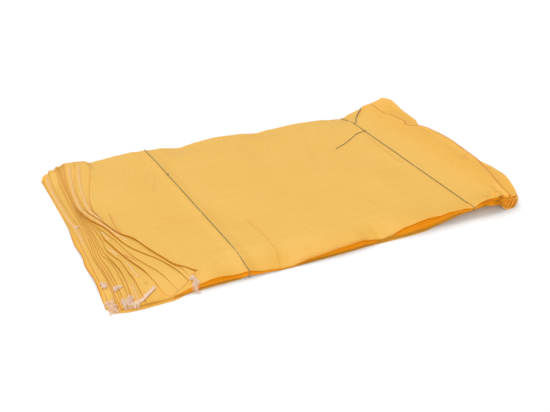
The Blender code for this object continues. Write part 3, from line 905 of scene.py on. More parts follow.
def swept(paths, radius, sides, upright=(0.0, 0.0, 1.0), closed=False, lobes=0, lay=0.008, groove=0.2):
    """Points of tubes along paths: circles of a radius across each path's direction.

    With lobes, the circle's radius dips between that many strands, which turn once in each lay length.
    """
    paths = np.asarray(paths, float)
    if closed:
        ahead = np.roll(paths, -1, axis=1) - np.roll(paths, 1, axis=1)
    else:
        ahead = np.gradient(paths, axis=1)
    ahead /= np.linalg.norm(ahead, axis=2, keepdims=True) + 1e-12
    across = np.cross(ahead, np.array(upright))
    across /= np.linalg.norm(across, axis=2, keepdims=True) + 1e-12
    up = np.cross(across, ahead)
    turn = np.arange(sides) / sides * 2 * math.pi
    steps = np.linalg.norm(np.diff(paths, axis=1, prepend=paths[:, :1]), axis=2)
    travelled = np.cumsum(steps, axis=1)[..., None]
    ring = np.asarray(radius)[..., None] * np.ones((*paths.shape[:2], sides))
    if lobes:
        strand = np.abs(np.sin(lobes / 2 * (turn - 2 * math.pi * travelled / lay)))
        ring = ring * (1 - groove + groove * strand)
    first, second = ring * np.cos(turn), ring * np.sin(turn)
    points = paths[:, :, None] + first[..., None] * up[:, :, None]
    points = points + second[..., None] * across[:, :, None]
    place = np.stack([travelled + 0 * ring, turn / (2 * math.pi) + 0 * ring, 0 * ring], axis=3)
    return points, place


def tubes(name, paths, radius, sides, material, **form):
    """A new piece: tubes swept along paths of equal point counts."""
    points, place = swept(paths, radius, sides, **form)
    faces = tube_faces(*points.shape[:3], form.get("closed", False))
    return new_piece(name, points.reshape(-1, 3), faces, place.reshape(-1, 3), material)


def new_piece(name, points, faces, place, material, mark=None):
    """A mesh object of the bundle: its points are moved from the layout into the frame."""
    mesh = bpy.data.meshes.new(name)
    mesh.from_pydata((points + CORNER).tolist(), [], faces)
    for title, values in (("place", place), ("mark", mark)):
        if values is not None:
            attribute = mesh.attributes.new(title, "FLOAT_VECTOR", "POINT")
            attribute.data.foreach_set("vector", values.astype(np.float32).ravel())
    mesh.shade_smooth()
    mesh.set_sharp_from_angle(angle=math.radians(50))
    mesh.materials.append(material)
    piece = bpy.data.objects.new(name, mesh)
    bpy.context.scene.collection.objects.link(piece)
    return piece


def even_path(points, step):
    """Points an even step apart on a path."""
    travelled = np.concatenate([[0], np.cumsum(np.linalg.norm(np.diff(points, axis=0), axis=1))])
    even = np.linspace(0, travelled[-1], max(3, round(travelled[-1] / step) + 1))
    return np.stack([np.interp(even, travelled, points[:, axis]) for axis in range(points.shape[1])], axis=1)


def smooth_route(points, step):
    """Even points on a smooth curve (Catmull-Rom) through a route's own (x, y) points."""
    route = np.array([points[0], *points, points[-1]])
    share = np.linspace(0, 1, 20, endpoint=False)[:, None]
    before, start, end, after = (route[i:len(route) - 3 + i, None] for i in range(4))
    dense = 0.5 * (
        2 * start
        + (end - before) * share
        + (2 * before - 5 * start + 4 * end - after) * share**2
        + (3 * start - before - 3 * end + after) * share**3
    )
    return even_path(np.concatenate([dense.reshape(-1, 2), route[-1:]]), step)


def corner_arc(centre, radius, start, end, count=8):
    """Points in the (y, z) plane round a corner, from one angle to another in degrees."""
    angles = np.radians(np.linspace(start, end, count))
    return np.stack([centre[0] + radius * np.cos(angles), centre[1] + radius * np.sin(angles)], axis=1)


def evened(values, reach):
    """Each value's mean with its neighbours, up to this many on each side."""
    count = 2 * reach + 1
    return np.convolve(np.pad(values, reach, mode="edge"), np.ones(count) / count, mode="valid")


def tie_path(tie):
    """A twine's loop round the bundle: over the top sack, down the front, underneath and up the back."""
    x_front, x_back = float(tie_x(tie, 0.0)), float(tie_x(tie, SACK_WIDTH))
    front = min(float(front_edge(number, x_front)) for number in range(SACK_COUNT))
    back = max(float(back_edge(number, x_back)) for number in range(SACK_COUNT))
    rows = np.linspace(front, back, TIE_POINTS)[1:-1]
    over = top_of(TOP, tie_x(tie, rows), rows)
    taut = evened(over, TAUT_REACH)
    near, far = edge_weights(rows)
    over = over * (near + far) + taut * (1 - near - far) + TWINE_RADIUS
    lowest, half = sheet(0, tie_x(tie, rows), rows)
    under = np.maximum(lowest - half - TWINE_RADIUS, TWINE_RADIUS)
    reach = TWINE_RADIUS
    loop = np.concatenate([
        corner_arc((back, over[-1] - reach), reach, 0, 80),
        np.stack([rows, over], axis=1)[::-1],
        corner_arc((front, over[0] - reach), reach, 100, 180),
        corner_arc((front, under[0] + reach), reach, 180, 260),
        np.stack([rows, under], axis=1),
        corner_arc((back, under[-1] + reach), reach, 280, 360),
    ])
    loop = np.concatenate([tie_x(tie, loop[:, :1]), loop], axis=1)
    return even_path(np.concatenate([loop, loop[:1]]), TIE_STEP)[:-1]


def knot_path(centre, size, count=90):
    """A small overhand knot: the trefoil (sin t + 2 sin 2t, cos t - 2 cos 2t, -sin 3t), a bit flatter."""
    t = np.linspace(0, 2 * math.pi, count, endpoint=False)
    x, y = np.sin(t) + 2 * np.sin(2 * t), np.cos(t) - 2 * np.cos(2 * t)
    return np.array(centre) + size * np.stack([x, y, -0.8 * np.sin(3 * t)], axis=1)


def tail_path(points, radius):
    """A loose end lying on the top sack, from the knot to its cut end."""
    route = smooth_route(points, TAIL_STEP)
    height = top_of(TOP, route[:, 0], route[:, 1])
    return np.column_stack([route, np.maximum(evened(height, TAIL_REACH), height) + radius])


def seam_offset(number, y):
    """How far behind its hem a seam runs: its own distance, or half way to the next hem if that is less."""
    between = sewn_end(number + 1, y) - sewn_end(number, y)
    return np.clip(0.5 * between, LEAST_SEAM_OFFSET, SEAM_OFFSET)


def chain_stitch(number, y, sizes, side):
    """One strand of a chain stitch: side -1 and 1 swing across the seam in turn, and 0 runs along it."""
    pitch, width, thread = sizes.stitch_length, sizes.stitch_width, sizes.thread_radius
    phase = 2 * math.pi * y / pitch
    x = sewn_end(number, y) + seam_offset(number, y) + side * 0.5 * width * np.sin(phase)
    y = y + 0.12 * pitch * np.sin(2 * phase)
    return np.column_stack([x, y, top_of(number, x, y) + thread * (0.7 + side * 0.4 * np.cos(phase))])


def tuft_paths(centre, half_size, height, count, seed):
    """Curled threads heaped in one place: each coils round a short line of its own inside the heap.

    A thread's line is start + run * direction + curl * (cos, sin) of a turning angle, kept above the cloth.
    """
    draw = np.random.default_rng(seed)
    t = np.linspace(0, 1, 26)[None, :]
    turn = draw.uniform(0, 2 * math.pi, (count, 1))
    run = 0.8 * min(half_size) * draw.uniform(0.4, 1.0, (count, 1))
    start = np.array(centre) + 0.55 * np.array(half_size) * draw.normal(0, 1, (count, 2)).clip(-1.5, 1.5)
    curl = draw.uniform(0.0008, 0.0020, (count, 1))
    angle = draw.uniform(0, 2 * math.pi, (count, 1)) + draw.uniform(9, 20, (count, 1)) * t
    x = start[:, :1] + run * (t - 0.5) * np.cos(turn) + curl * np.cos(angle)
    y = start[:, 1:] + run * (t - 0.5) * np.sin(turn) + curl * np.sin(angle)
    rise = height * draw.uniform(0.0, 0.8, (count, 1)) * np.sin(math.pi * t)
    rise = rise + 0.4 * curl * (1 + np.sin(1.7 * angle))
    return np.stack([x, y, stack_top(x, y) + TUFT_LIFT + rise], axis=2)


class SackSizes(bpy.types.PropertyGroup):
    """Sizes of the sacks, their seams and the twines."""

    ply_thickness: bpy.props.FloatProperty(
        name="Ply thickness", description="Thickness of one ply of woven cloth",
        default=0.00018, min=0.00005, unit="LENGTH", subtype="DISTANCE",
    )
    tape_width: bpy.props.FloatProperty(
        name="Tape width", description="Width of one woven tape",
        default=0.0027, min=0.0005, unit="LENGTH", subtype="DISTANCE",
    )
    stitch_length: bpy.props.FloatProperty(
        name="Stitch length", description="Length of one loop of the hem's chain stitch",
        default=0.0065, min=0.002, unit="LENGTH", subtype="DISTANCE",
    )
    stitch_width: bpy.props.FloatProperty(
        name="Stitch width", description="Width across the hem's chain stitch",
        default=0.0056, min=0.001, unit="LENGTH", subtype="DISTANCE",
    )
    thread_radius: bpy.props.FloatProperty(
        name="Thread radius", description="Half the thickness of the sewing thread",
        default=0.00060, min=0.0001, unit="LENGTH", subtype="DISTANCE",
    )
    fibre_radius: bpy.props.FloatProperty(
        name="Fibre radius", description="Half the thickness of a frayed thread end",
        default=0.00038, min=0.0001, unit="LENGTH", subtype="DISTANCE",
    )


class SackFinish(bpy.types.PropertyGroup):
    """Colours and gloss of the cloth, the thread and the twine."""

    cloth_colour: bpy.props.FloatVectorProperty(
        name="Cloth", description="Colour of the golden yellow woven cloth",
        default=(0.83, 0.50, 0.098), size=3, min=0, max=1, subtype="COLOR",
    )
    # Painted shade: the deep colour that steep, tucked, rim, front, right-end and lower cloth is mixed
    # towards
    painted_cloth_shade: bpy.props.FloatVectorProperty(
        name="Cloth shade", description="Deeper yellow of folds and of cloth that is tucked in",
        default=(0.79, 0.365, 0.008), size=3, min=0, max=1, subtype="COLOR",
    )
    # Painted shade: the colour of the dark lines along creases, hems and mouths
    painted_crease_shade: bpy.props.FloatVectorProperty(
        name="Crease", description="Orange brown along sharp creases",
        default=(0.52, 0.16, 0.003), size=3, min=0, max=1, subtype="COLOR",
    )
    # Painted glow: light that only the camera sees, added to folds, sides and tucked cloth
    painted_fold_glow: bpy.props.FloatVectorProperty(
        name="Light through", description="Colour of the light that comes through thin cloth in the folds",
        default=(0.45, 0.125, 0.002), size=3, min=0, max=1, subtype="COLOR",
    )
    # Painted glow: light that only the camera sees, added along the shade lines
    painted_line_glow: bpy.props.FloatVectorProperty(
        name="Light in lines", description="Colour of the light that comes through hem lines and creases",
        default=(0.12, 0.030, 0.0), size=3, min=0, max=1, subtype="COLOR",
    )
    bounce_grey: bpy.props.FloatProperty(
        name="Bounce grey", description="How far cloth that is seen by bounced light turns grey",
        default=0.35, min=0, max=1, subtype="FACTOR",
    )
    cloth_roughness: bpy.props.FloatProperty(
        name="Cloth roughness", description="Roughness of the woven cloth",
        default=0.50, min=0, max=1, subtype="FACTOR",
    )
    seam_colour: bpy.props.FloatVectorProperty(
        name="Seam", description="Colour of the thread where it is sewn in and takes up the cloth's yellow",
        default=(0.86, 0.56, 0.24), size=3, min=0, max=1, subtype="COLOR",
    )
    # Painted glow: share of the thread's colour added as light that only the camera sees
    painted_thread_glow: bpy.props.FloatProperty(
        name="Thread glow", description="Share of its colour that a thread adds, as light comes through it",
        default=0.14, min=0,
    )
    thread_colour: bpy.props.FloatVectorProperty(
        name="Thread", description="Colour of the sewing thread",
        default=(0.88, 0.66, 0.50), size=3, min=0, max=1, subtype="COLOR",
    )
    twine_colour: bpy.props.FloatVectorProperty(
        name="Twine", description="Colour of the tying twine",
        default=(0.30, 0.215, 0.09), size=3, min=0, max=1, subtype="COLOR",
    )


class StageSettings(bpy.types.PropertyGroup):
    """Where the camera stands and how strong the light is."""

    camera_place: bpy.props.FloatVectorProperty(
        name="Camera", description="Place of the camera in the layout",
        default=(-0.226, -1.122, 0.8225), size=3, unit="LENGTH", subtype="TRANSLATION",
    )
    yaw: bpy.props.FloatProperty(
        name="Yaw", description="How far the camera turns from +Y towards +X",
        default=math.radians(25.78), unit="ROTATION", subtype="ANGLE",
    )
    pitch: bpy.props.FloatProperty(
        name="Pitch", description="How far the camera looks down",
        default=math.radians(28.84), unit="ROTATION", subtype="ANGLE",
    )
    lens: bpy.props.FloatProperty(
        name="Lens", description="Focal length in millimetres on a 36 mm wide sensor",
        default=52.64, min=1,
    )
    sky_light: bpy.props.FloatProperty(
        name="Sky light", description="Strength of the even white light from all round",
        default=0.48, min=0,
    )
    lamp_light: bpy.props.FloatProperty(
        name="Lamp light", description="Strength of the large soft lamp above and behind",
        default=1.50, min=0,
    )
    fill_light: bpy.props.FloatProperty(
        name="Fill light", description="Strength of the soft light from the camera's side",
        default=1.0, min=0,
    )
    lamp_angle: bpy.props.FloatProperty(
        name="Lamp angle", description="How wide the lamp looks from the bundle",
        default=math.radians(50), unit="ROTATION", subtype="ANGLE",
    )
    floor_glow: bpy.props.FloatProperty(
        name="Floor glow", description="Light that the paper gives off, as a backlit table does",
        default=0.03, min=0,
    )


def add_group(name, inputs, outputs):
    """A shader node group with named sockets. Each is (name, kind, default)."""
    group = bpy.data.node_groups.new(name, "ShaderNodeTree")
    for title, kind, default in inputs:
        socket = group.interface.new_socket(title, in_out="INPUT", socket_type=f"NodeSocket{kind}")
        if default is not None:
            socket.default_value = default
    for title, kind in outputs:
        group.interface.new_socket(title, in_out="OUTPUT", socket_type=f"NodeSocket{kind}")
    return group, group.nodes.new("NodeGroupInput").outputs, group.nodes.new("NodeGroupOutput").inputs


def math_node(tree, operation, first, second=None, third=None):
    """A Math node whose values are sockets or numbers. Returns its output."""
    node = tree.nodes.new("ShaderNodeMath")
    node.operation = operation
    for socket, value in zip(node.inputs, (first, second, third)):
        if isinstance(value, bpy.types.NodeSocket):
            tree.links.new(value, socket)
        elif value is not None:
            socket.default_value = value
    return node.outputs[0]


def mixed(tree, share, first, second, blend="MIX"):
    """A colour mix of sockets or colours. Returns its output."""
    node = tree.nodes.new("ShaderNodeMix")
    node.data_type = "RGBA"
    node.blend_type = blend
    for socket, value in ((node.inputs["Factor"], share), (node.inputs[6], first), (node.inputs[7], second)):
        if isinstance(value, bpy.types.NodeSocket):
            tree.links.new(value, socket)
        else:
            socket.default_value = value
    return node.outputs[2]


def noise(tree, vector, scale, detail=3.0, roughness=0.5):
    """A noise texture's value at a vector."""
    node = tree.nodes.new("ShaderNodeTexNoise")
    node.inputs["Detail"].default_value = detail
    node.inputs["Roughness"].default_value = roughness
    for title, value in (("Vector", vector), ("Scale", scale)):
        if isinstance(value, bpy.types.NodeSocket):
            tree.links.new(value, node.inputs[title])
        else:
            node.inputs[title].default_value = value
    return node.outputs["Fac"]


def scaled(tree, vector, factors):
    """A vector with each part multiplied by its own factor."""
    node = tree.nodes.new("ShaderNodeVectorMath")
    node.operation = "MULTIPLY"
    tree.links.new(vector, node.inputs[0])
    node.inputs[1].default_value = factors
    return node.outputs[0]


def ranged(tree, value, low, high, to_low, to_high):
    """A value carried from one range to another, held inside it."""
    node = tree.nodes.new("ShaderNodeMapRange")
    for socket, given in zip(node.inputs, (value, low, high, to_low, to_high)):
        if isinstance(given, bpy.types.NodeSocket):
            tree.links.new(given, socket)
        else:
            socket.default_value = given
    return node.outputs["Result"]


def weave_group():
    """Plain weave of flat tapes, in metres along and across the sack.

    Each tape bulges like half a sine across its width and sinks where it passes under its neighbour. Tone
    is a random value for each tape, and Seam marks the thin lines between tapes.
    """
    tree, given, made = add_group(
        "woven tapes",
        (("Place", "Vector", None), ("Tape Width", "Float", 0.0027)),
        (("Height", "Float"), ("Tone", "Float"), ("Seam", "Float")),
    )
    parts = tree.nodes.new("ShaderNodeSeparateXYZ")
    tree.links.new(given["Place"], parts.inputs[0])
    cells, bulges, tones = [], [], []
    for axis in "XY":
        place = math_node(tree, "DIVIDE", parts.outputs[axis], given["Tape Width"])
        cells.append(math_node(tree, "FLOOR", place))
        half_turn = math_node(tree, "MULTIPLY", math_node(tree, "FRACT", place), math.pi)
        bulges.append(math_node(tree, "SINE", half_turn))
    parity = math_node(tree, "PINGPONG", math_node(tree, "ADD", *cells), 1.0)
    turn = math_node(tree, "SUBTRACT", parity, 0.5)
    bulge_column, bulge_row = bulges
    rise = math_node(tree, "MULTIPLY", bulge_column, turn)
    row_height = math_node(tree, "MULTIPLY", bulge_row, math_node(tree, "ADD", 0.6, rise))
    sink = math_node(tree, "MULTIPLY", bulge_row, turn)
    column_height = math_node(tree, "MULTIPLY", bulge_column, math_node(tree, "SUBTRACT", 0.6, sink))
    tree.links.new(math_node(tree, "MAXIMUM", row_height, column_height), made["Height"])
    column, row = cells
    for number, shift in ((row, 3.7), (column, 91.3)):
        node = tree.nodes.new("ShaderNodeTexWhiteNoise")
        node.noise_dimensions = "1D"
        tree.links.new(math_node(tree, "ADD", number, shift), node.inputs["W"])
        tones.append(node.outputs["Value"])
    on_top = math_node(tree, "GREATER_THAN", row_height, column_height)
    difference = math_node(tree, "SUBTRACT", tones[0], tones[1])
    tree.links.new(math_node(tree, "MULTIPLY_ADD", difference, on_top, tones[1]), made["Tone"])
    highest = math_node(tree, "MAXIMUM", bulge_row, bulge_column)
    thin = math_node(tree, "SUBTRACT", 1.0, ranged(tree, highest, 0.0, 0.55, 0.0, 1.0))
    tree.links.new(thin, made["Seam"])
    return tree


def drift_group():
    """Slow change of tone over a surface: soft clouds, and streaks drawn out along the first direction."""
    tree, given, made = add_group(
        "tone drift",
        (("Place", "Vector", None), ("Cloud Scale", "Float", 7.0), ("Streak Scale", "Float", 160.0)),
        (("Clouds", "Float"), ("Streaks", "Float")),
    )
    tree.links.new(noise(tree, given["Place"], given["Cloud Scale"], 4.0), made["Clouds"])
    drawn_out = scaled(tree, given["Place"], (0.035, 1.0, 1.0))
    tree.links.new(noise(tree, drawn_out, given["Streak Scale"], 2.0, 0.6), made["Streaks"])
    return tree


def strand_group():
    """Fine fibres along a thread or twine, as a height and a tone. Place is (along, round, 0)."""
    tree, given, made = add_group(
        "strand fibres",
        (("Place", "Vector", None), ("Slant", "Float", 120.0), ("Fineness", "Float", 9.0)),
        (("Height", "Float"), ("Tone", "Float")),
    )
    parts = tree.nodes.new("ShaderNodeSeparateXYZ")
    tree.links.new(given["Place"], parts.inputs[0])
    lean = math_node(tree, "MULTIPLY_ADD", parts.outputs["X"], given["Slant"], parts.outputs["Y"])
    joined = tree.nodes.new("ShaderNodeCombineXYZ")
    tree.links.new(math_node(tree, "MULTIPLY", lean, given["Fineness"]), joined.inputs["X"])
    tree.links.new(math_node(tree, "MULTIPLY", parts.outputs["X"], 40.0), joined.inputs["Y"])
    tree.links.new(noise(tree, joined.outputs[0], 1.0, 3.0, 0.6), made["Height"])
    tree.links.new(noise(tree, scaled(tree, given["Place"], (55.0, 1.0, 1.0)), 1.0, 2.0), made["Tone"])
    return tree


def crease_group():
    """A thin line of painted shade along a crease, hem or mouth, and the share of painted shade that deepens
    the cloth. Mark is (signed distance from the line, how deep its painted shade is, the share of painted
    shade), as the pieces store it.
    """
    tree, given, made = add_group(
        "crease line",
        (("Mark", "Vector", None), ("Half Width", "Float", 0.0017)),
        (("Line", "Float"), ("Fold", "Float")),
    )
    parts = tree.nodes.new("ShaderNodeSeparateXYZ")
    tree.links.new(given["Mark"], parts.inputs[0])
    away = math_node(tree, "ABSOLUTE", parts.outputs["X"])
    line = ranged(tree, away, 0.0, given["Half Width"], 1.5, 0.0)
    line = math_node(tree, "MINIMUM", line, 1.0)
    tree.links.new(math_node(tree, "MULTIPLY", line, parts.outputs["Y"]), made["Line"])
    tree.links.new(parts.outputs["Z"], made["Fold"])
    return tree


def group_node(tree, group, **values):
    """A group placed in a material, with its inputs set or linked."""
    node = tree.nodes.new("ShaderNodeGroup")
    node.node_tree = group
    for title, value in values.items():
        socket = node.inputs[title.replace("_", " ")]
        if isinstance(value, bpy.types.NodeSocket):
            tree.links.new(value, socket)
        else:
            socket.default_value = value
    return node.outputs


def start_material(name, roughness):
    """A new material, its node tree, its Principled shader and the pieces' own place attribute."""
    material = bpy.data.materials.new(name)
    material.use_nodes = True
    tree = material.node_tree
    shader = tree.nodes["Principled BSDF"]
    shader.inputs["Roughness"].default_value = roughness
    place = tree.nodes.new("ShaderNodeAttribute")
    place.attribute_name = "place"
    return material, tree, shader, place.outputs["Vector"]


def add_bump(tree, shader, height, strength, distance):
    """Relief on a shader's normal."""
    bump = tree.nodes.new("ShaderNodeBump")
    bump.inputs["Strength"].default_value = strength
    bump.inputs["Distance"].default_value = distance
    tree.links.new(height, bump.inputs["Height"])
    tree.links.new(bump.outputs["Normal"], shader.inputs["Normal"])


def group_of(name, make):
    """A node group of this file, made the first time that it is asked for."""
    return bpy.data.node_groups.get(name) or make()


def cloth_material(sizes, finish):
    """Golden yellow woven tapes, each with a tone of its own, under slow clouds and long streaks.

    Painted shade makes folds, steep sides, rims and tucked cloth deeper in colour, and they get a painted
    glow that only the camera sees. Creases and the lines of hems and mouths are painted brown lines of
    shade.
    """
    name = "golden woven cloth"
    if name in bpy.data.materials:
        return bpy.data.materials[name]
    material, tree, shader, place = start_material(name, finish.cloth_roughness)
    weave = group_node(tree, group_of("woven tapes", weave_group), Place=place, Tape_Width=sizes.tape_width)
    tone = group_node(tree, group_of("tone drift", drift_group), Place=place)
    mark = tree.nodes.new("ShaderNodeAttribute")
    mark.attribute_name = "mark"
    crease = group_node(tree, group_of("crease line", crease_group), Mark=mark.outputs["Vector"])
    light, deep = (*finish.cloth_colour, 1.0), (*finish.painted_cloth_shade, 1.0)
    streaks = ranged(tree, tone["Streaks"], 0.3, 0.7, 0.0, 0.18)
    share = math_node(tree, "MULTIPLY_ADD", weave["Tone"], 0.14, streaks)
    share = math_node(tree, "ADD", share, ranged(tree, tone["Clouds"], 0.35, 0.7, 0.0, 0.12))
    share = math_node(tree, "MULTIPLY_ADD", weave["Seam"], 0.10, share)
    # Painted shade: the mesh's share of painted shade mixes the colour towards the deep one
    share = math_node(tree, "MAXIMUM", share, crease["Fold"])
    colour = mixed(tree, share, light, deep)
    # Painted shade lines along creases, hems and mouths
    colour = mixed(tree, crease["Line"], colour, (*finish.painted_crease_shade, 1.0))
    path = tree.nodes.new("ShaderNodeLightPath").outputs
    bounced = math_node(tree, "MULTIPLY", path["Is Diffuse Ray"], finish.bounce_grey)
    tree.links.new(mixed(tree, bounced, colour, (0.35, 0.35, 0.35, 1.0)), shader.inputs["Base Color"])
    # Painted glow, seen only by camera rays, growing with the fourth power of the painted shade share and
    # set apart on the lines. It lights nothing else
    thin = math_node(tree, "POWER", crease["Fold"], 4.0)
    glow = mixed(tree, thin, (0.0, 0.0, 0.0, 1.0), (*finish.painted_fold_glow, 1.0))
    glow = mixed(tree, crease["Line"], glow, (*finish.painted_line_glow, 1.0))
    glow = mixed(tree, path["Is Camera Ray"], (0.0, 0.0, 0.0, 1.0), glow)
    tree.links.new(glow, shader.inputs["Emission Color"])
    shader.inputs["Emission Strength"].default_value = 1.0
    low, high = finish.cloth_roughness - 0.05, finish.cloth_roughness + 0.08
    gloss = ranged(tree, weave["Tone"], 0.0, 1.0, low, high)
    tree.links.new(gloss, shader.inputs["Roughness"])
    shader.inputs["IOR"].default_value = 1.49
    height = math_node(tree, "MULTIPLY_ADD", crease["Line"], -3.0, weave["Height"])
    add_bump(tree, shader, height, 0.35, 0.00018)
    return material


def thread_material(finish, name, setting):
    """Sewing thread with fine fibres along its lay, in the colour that a setting holds, with a painted glow
    of that colour that only the camera sees.
    """
    if name in bpy.data.materials:
        return bpy.data.materials[name]
    material, tree, shader, place = start_material(name, 0.85)
    fibre = group_node(tree, group_of("strand fibres", strand_group), Place=place, Slant=260.0, Fineness=6.0)
    colour = getattr(finish, setting)
    pale = (*colour, 1.0)
    deep = tuple(part * factor for part, factor in zip(colour, (0.92, 0.84, 0.76)))
    share = ranged(tree, fibre["Tone"], 0.35, 0.7, 0.0, 0.8)
    tree.links.new(mixed(tree, share, pale, (*deep, 1.0)), shader.inputs["Base Color"])
    # Painted glow of the thread's colour, seen only by camera rays
    seen = tree.nodes.new("ShaderNodeLightPath").outputs["Is Camera Ray"]
    tree.links.new(mixed(tree, seen, (0.0, 0.0, 0.0, 1.0), pale), shader.inputs["Emission Color"])
    shader.inputs["Emission Strength"].default_value = finish.painted_thread_glow
    add_bump(tree, shader, fibre["Height"], 0.5, 0.0002)
    return material


def twine_material(finish):
    """Grey brown twine: darker and paler lengths, with fibres that follow the strands."""
    name = "grey brown twine"
    if name in bpy.data.materials:
        return bpy.data.materials[name]
    material, tree, shader, place = start_material(name, 0.80)
    fibre = group_node(tree, group_of("strand fibres", strand_group), Place=place)
    base = (*finish.twine_colour, 1.0)
    pale = tuple(min(1.0, part * 1.9) for part in finish.twine_colour)
    share = math_node(tree, "MULTIPLY", ranged(tree, fibre["Tone"], 0.3, 0.75, 0.0, 1.0), fibre["Height"])
    tree.links.new(mixed(tree, share, base, (*pale, 1.0)), shader.inputs["Base Color"])
    add_bump(tree, shader, fibre["Height"], 0.6, 0.0003)
    return material


def floor_material(glow):
    """Plain white paper with a faint tooth, lit a little from behind."""
    material = bpy.data.materials.new("white paper floor")
    material.use_nodes = True
    tree = material.node_tree
    shader = tree.nodes["Principled BSDF"]
    shader.inputs["Base Color"].default_value = (0.95, 0.95, 0.95, 1.0)
    shader.inputs["Roughness"].default_value = 0.9
    shader.inputs["Specular IOR Level"].default_value = 0.1
    shader.inputs["Emission Color"].default_value = (1.0, 1.0, 1.0, 1.0)
    shader.inputs["Emission Strength"].default_value = glow
    place = tree.nodes.new("ShaderNodeTexCoord").outputs["Object"]
    add_bump(tree, shader, noise(tree, place, 400.0, 2.0), 0.05, 0.0002)
    return material


# The floor's side in metres, and how far behind the bundle the overhead light comes from, in degrees
FLOOR_SIZE = 24.0
LAMP_LEAN = 18


class BUNDLE_OT_stage(bpy.types.Operator):
    """Add the floor, the soft studio light and the camera."""

    bl_idname = "bundle.stage"
    bl_label = "Stage"

    def execute(self, context):
        settings, scene = context.scene.bundle_stage, context.scene
        bpy.ops.mesh.primitive_plane_add(size=FLOOR_SIZE, location=(0, 0, 0))
        floor = context.object
        floor.name = "paper_floor"
        floor.data.materials.append(floor_material(settings.floor_glow))
        camera = bpy.data.objects.new("camera", bpy.data.cameras.new("camera"))
        camera.data.lens = settings.lens
        camera.data.sensor_width = 36.0
        camera.location = np.array(settings.camera_place) + CORNER
        camera.rotation_euler = (math.pi / 2 - settings.pitch, 0.0, -settings.yaw)
        scene.collection.objects.link(camera)
        scene.camera = camera
        view = tuple(camera.rotation_euler)
        behind = (-math.radians(LAMP_LEAN), 0.0, 0.0)
        lamps = (("overhead_lamp", settings.lamp_light, behind), ("fill_lamp", settings.fill_light, view))
        for name, light, turn in lamps:
            lamp = bpy.data.objects.new(name, bpy.data.lights.new(name, "SUN"))
            lamp.data.energy = light
            lamp.data.angle = settings.lamp_angle
            lamp.rotation_euler = turn
            scene.collection.objects.link(lamp)
        world = scene.world or bpy.data.worlds.new("studio")
        scene.world = world
        world.use_nodes = True
        sky = world.node_tree.nodes["Background"]
        sky.inputs["Color"].default_value = (1.0, 1.0, 1.0, 1.0)
        sky.inputs["Strength"].default_value = settings.sky_light
        scene.view_settings.view_transform = "Standard"
        return {"FINISHED"}


class BUNDLE_OT_tails(bpy.types.Operator):
    """Add the loose ends of the right twine."""

    bl_idname = "bundle.tails"
    bl_label = "Twine ends"

    def execute(self, context):
        material = twine_material(context.scene.bundle_finish)
        tails = (
            ("long_twine_end", "tie_right_long_tail", LONG_TAIL, TWINE_RADIUS, 3),
            ("pair_twine_end", "tie_right_pair_tail", PAIR_TAIL, PAIR_RADIUS, 2),
        )
        for name, node, points, radius, strands in tails:
            path = tail_path(points, radius)
            piece = tubes(name, path[None], radius, 12, material, lobes=strands, groove=0.25)
            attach(piece, BODY)
            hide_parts(node)
        return {"FINISHED"}


class BUNDLE_OT_ties(bpy.types.Operator):
    """Add the two twines round the bundle and their knots."""

    bl_idname = "bundle.ties"
    bl_label = "Twines"

    def execute(self, context):
        material = twine_material(context.scene.bundle_finish)
        for name, node, tie, knots in (
            ("left_twine", "tie_left", LEFT_TIE_X, (0.410,)),
            ("right_twine", "tie_right", RIGHT_TIE_X, (0.434, 0.488)),
        ):
            loop = tubes(
                name, tie_path(tie)[None], TWINE_RADIUS, 12, material,
                upright=(1.0, 0.0, 0.0), closed=True, lobes=3, groove=0.25,
            )
            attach(loop, BODY)
            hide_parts(node)
            paths = []
            for y in knots:
                x = float(tie_x(tie, y))
                centre = (x, y, float(top_of(TOP, x, y)) + KNOT_HEIGHT)
                paths.append(knot_path(centre, KNOT_SIZE))
            knot = tubes(f"{name}_knots", np.array(paths), KNOT_SIZE, 8, material, closed=True, lobes=2)
            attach(knot, BODY)
        return {"FINISHED"}


class BUNDLE_OT_sacks(bpy.types.Operator):
    """Add the sacks of the bundle, each as one closed surface."""

    bl_idname = "bundle.sacks"
    bl_label = "Sacks"

    def execute(self, context):
        sizes, finish = context.scene.bundle_sizes, context.scene.bundle_finish
        material = cloth_material(sizes, finish)
        for number, node in enumerate(SACK_NODES):
            points, place, mark = sack_rings(number, sizes)
            rings, around = points.shape[:2]
            faces = loft_faces(rings, around, around // 2 + 1)
            points, place, mark = (part.reshape(-1, 3) for part in (points, place, mark))
            piece = new_piece(f"woven_{node}", points, faces, place, material, mark)
            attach(piece, BODY)
            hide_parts(node)
        return {"FINISHED"}


class BUNDLE_OT_seams(bpy.types.Operator):
    """Add the chain stitches of the hems where they show."""

    bl_idname = "bundle.seams"
    bl_label = "Hem stitches"

    def execute(self, context):
        sizes, finish = context.scene.bundle_sizes, context.scene.bundle_finish
        material = thread_material(finish, "yellowed sewing thread", "seam_colour")
        for number in SEAMS:
            points, faces, places, count = [], [], [], 0
            for start, end in SEAMS[number]:
                y = np.arange(start, end, STITCH_STEP)
                paths = np.array([chain_stitch(number, y, sizes, side) for side in (-1, 0, 1)])
                tube, place = swept(paths, sizes.thread_radius, 6)
                faces += [[count + i for i in face] for face in tube_faces(*tube.shape[:3], False)]
                points.append(tube.reshape(-1, 3))
                places.append(place.reshape(-1, 3))
                count += len(points[-1])
            name = f"hem_stitch_{number + 1:02d}"
            piece = new_piece(name, np.concatenate(points), faces, np.concatenate(places), material)
            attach(piece, BODY)
        return {"FINISHED"}


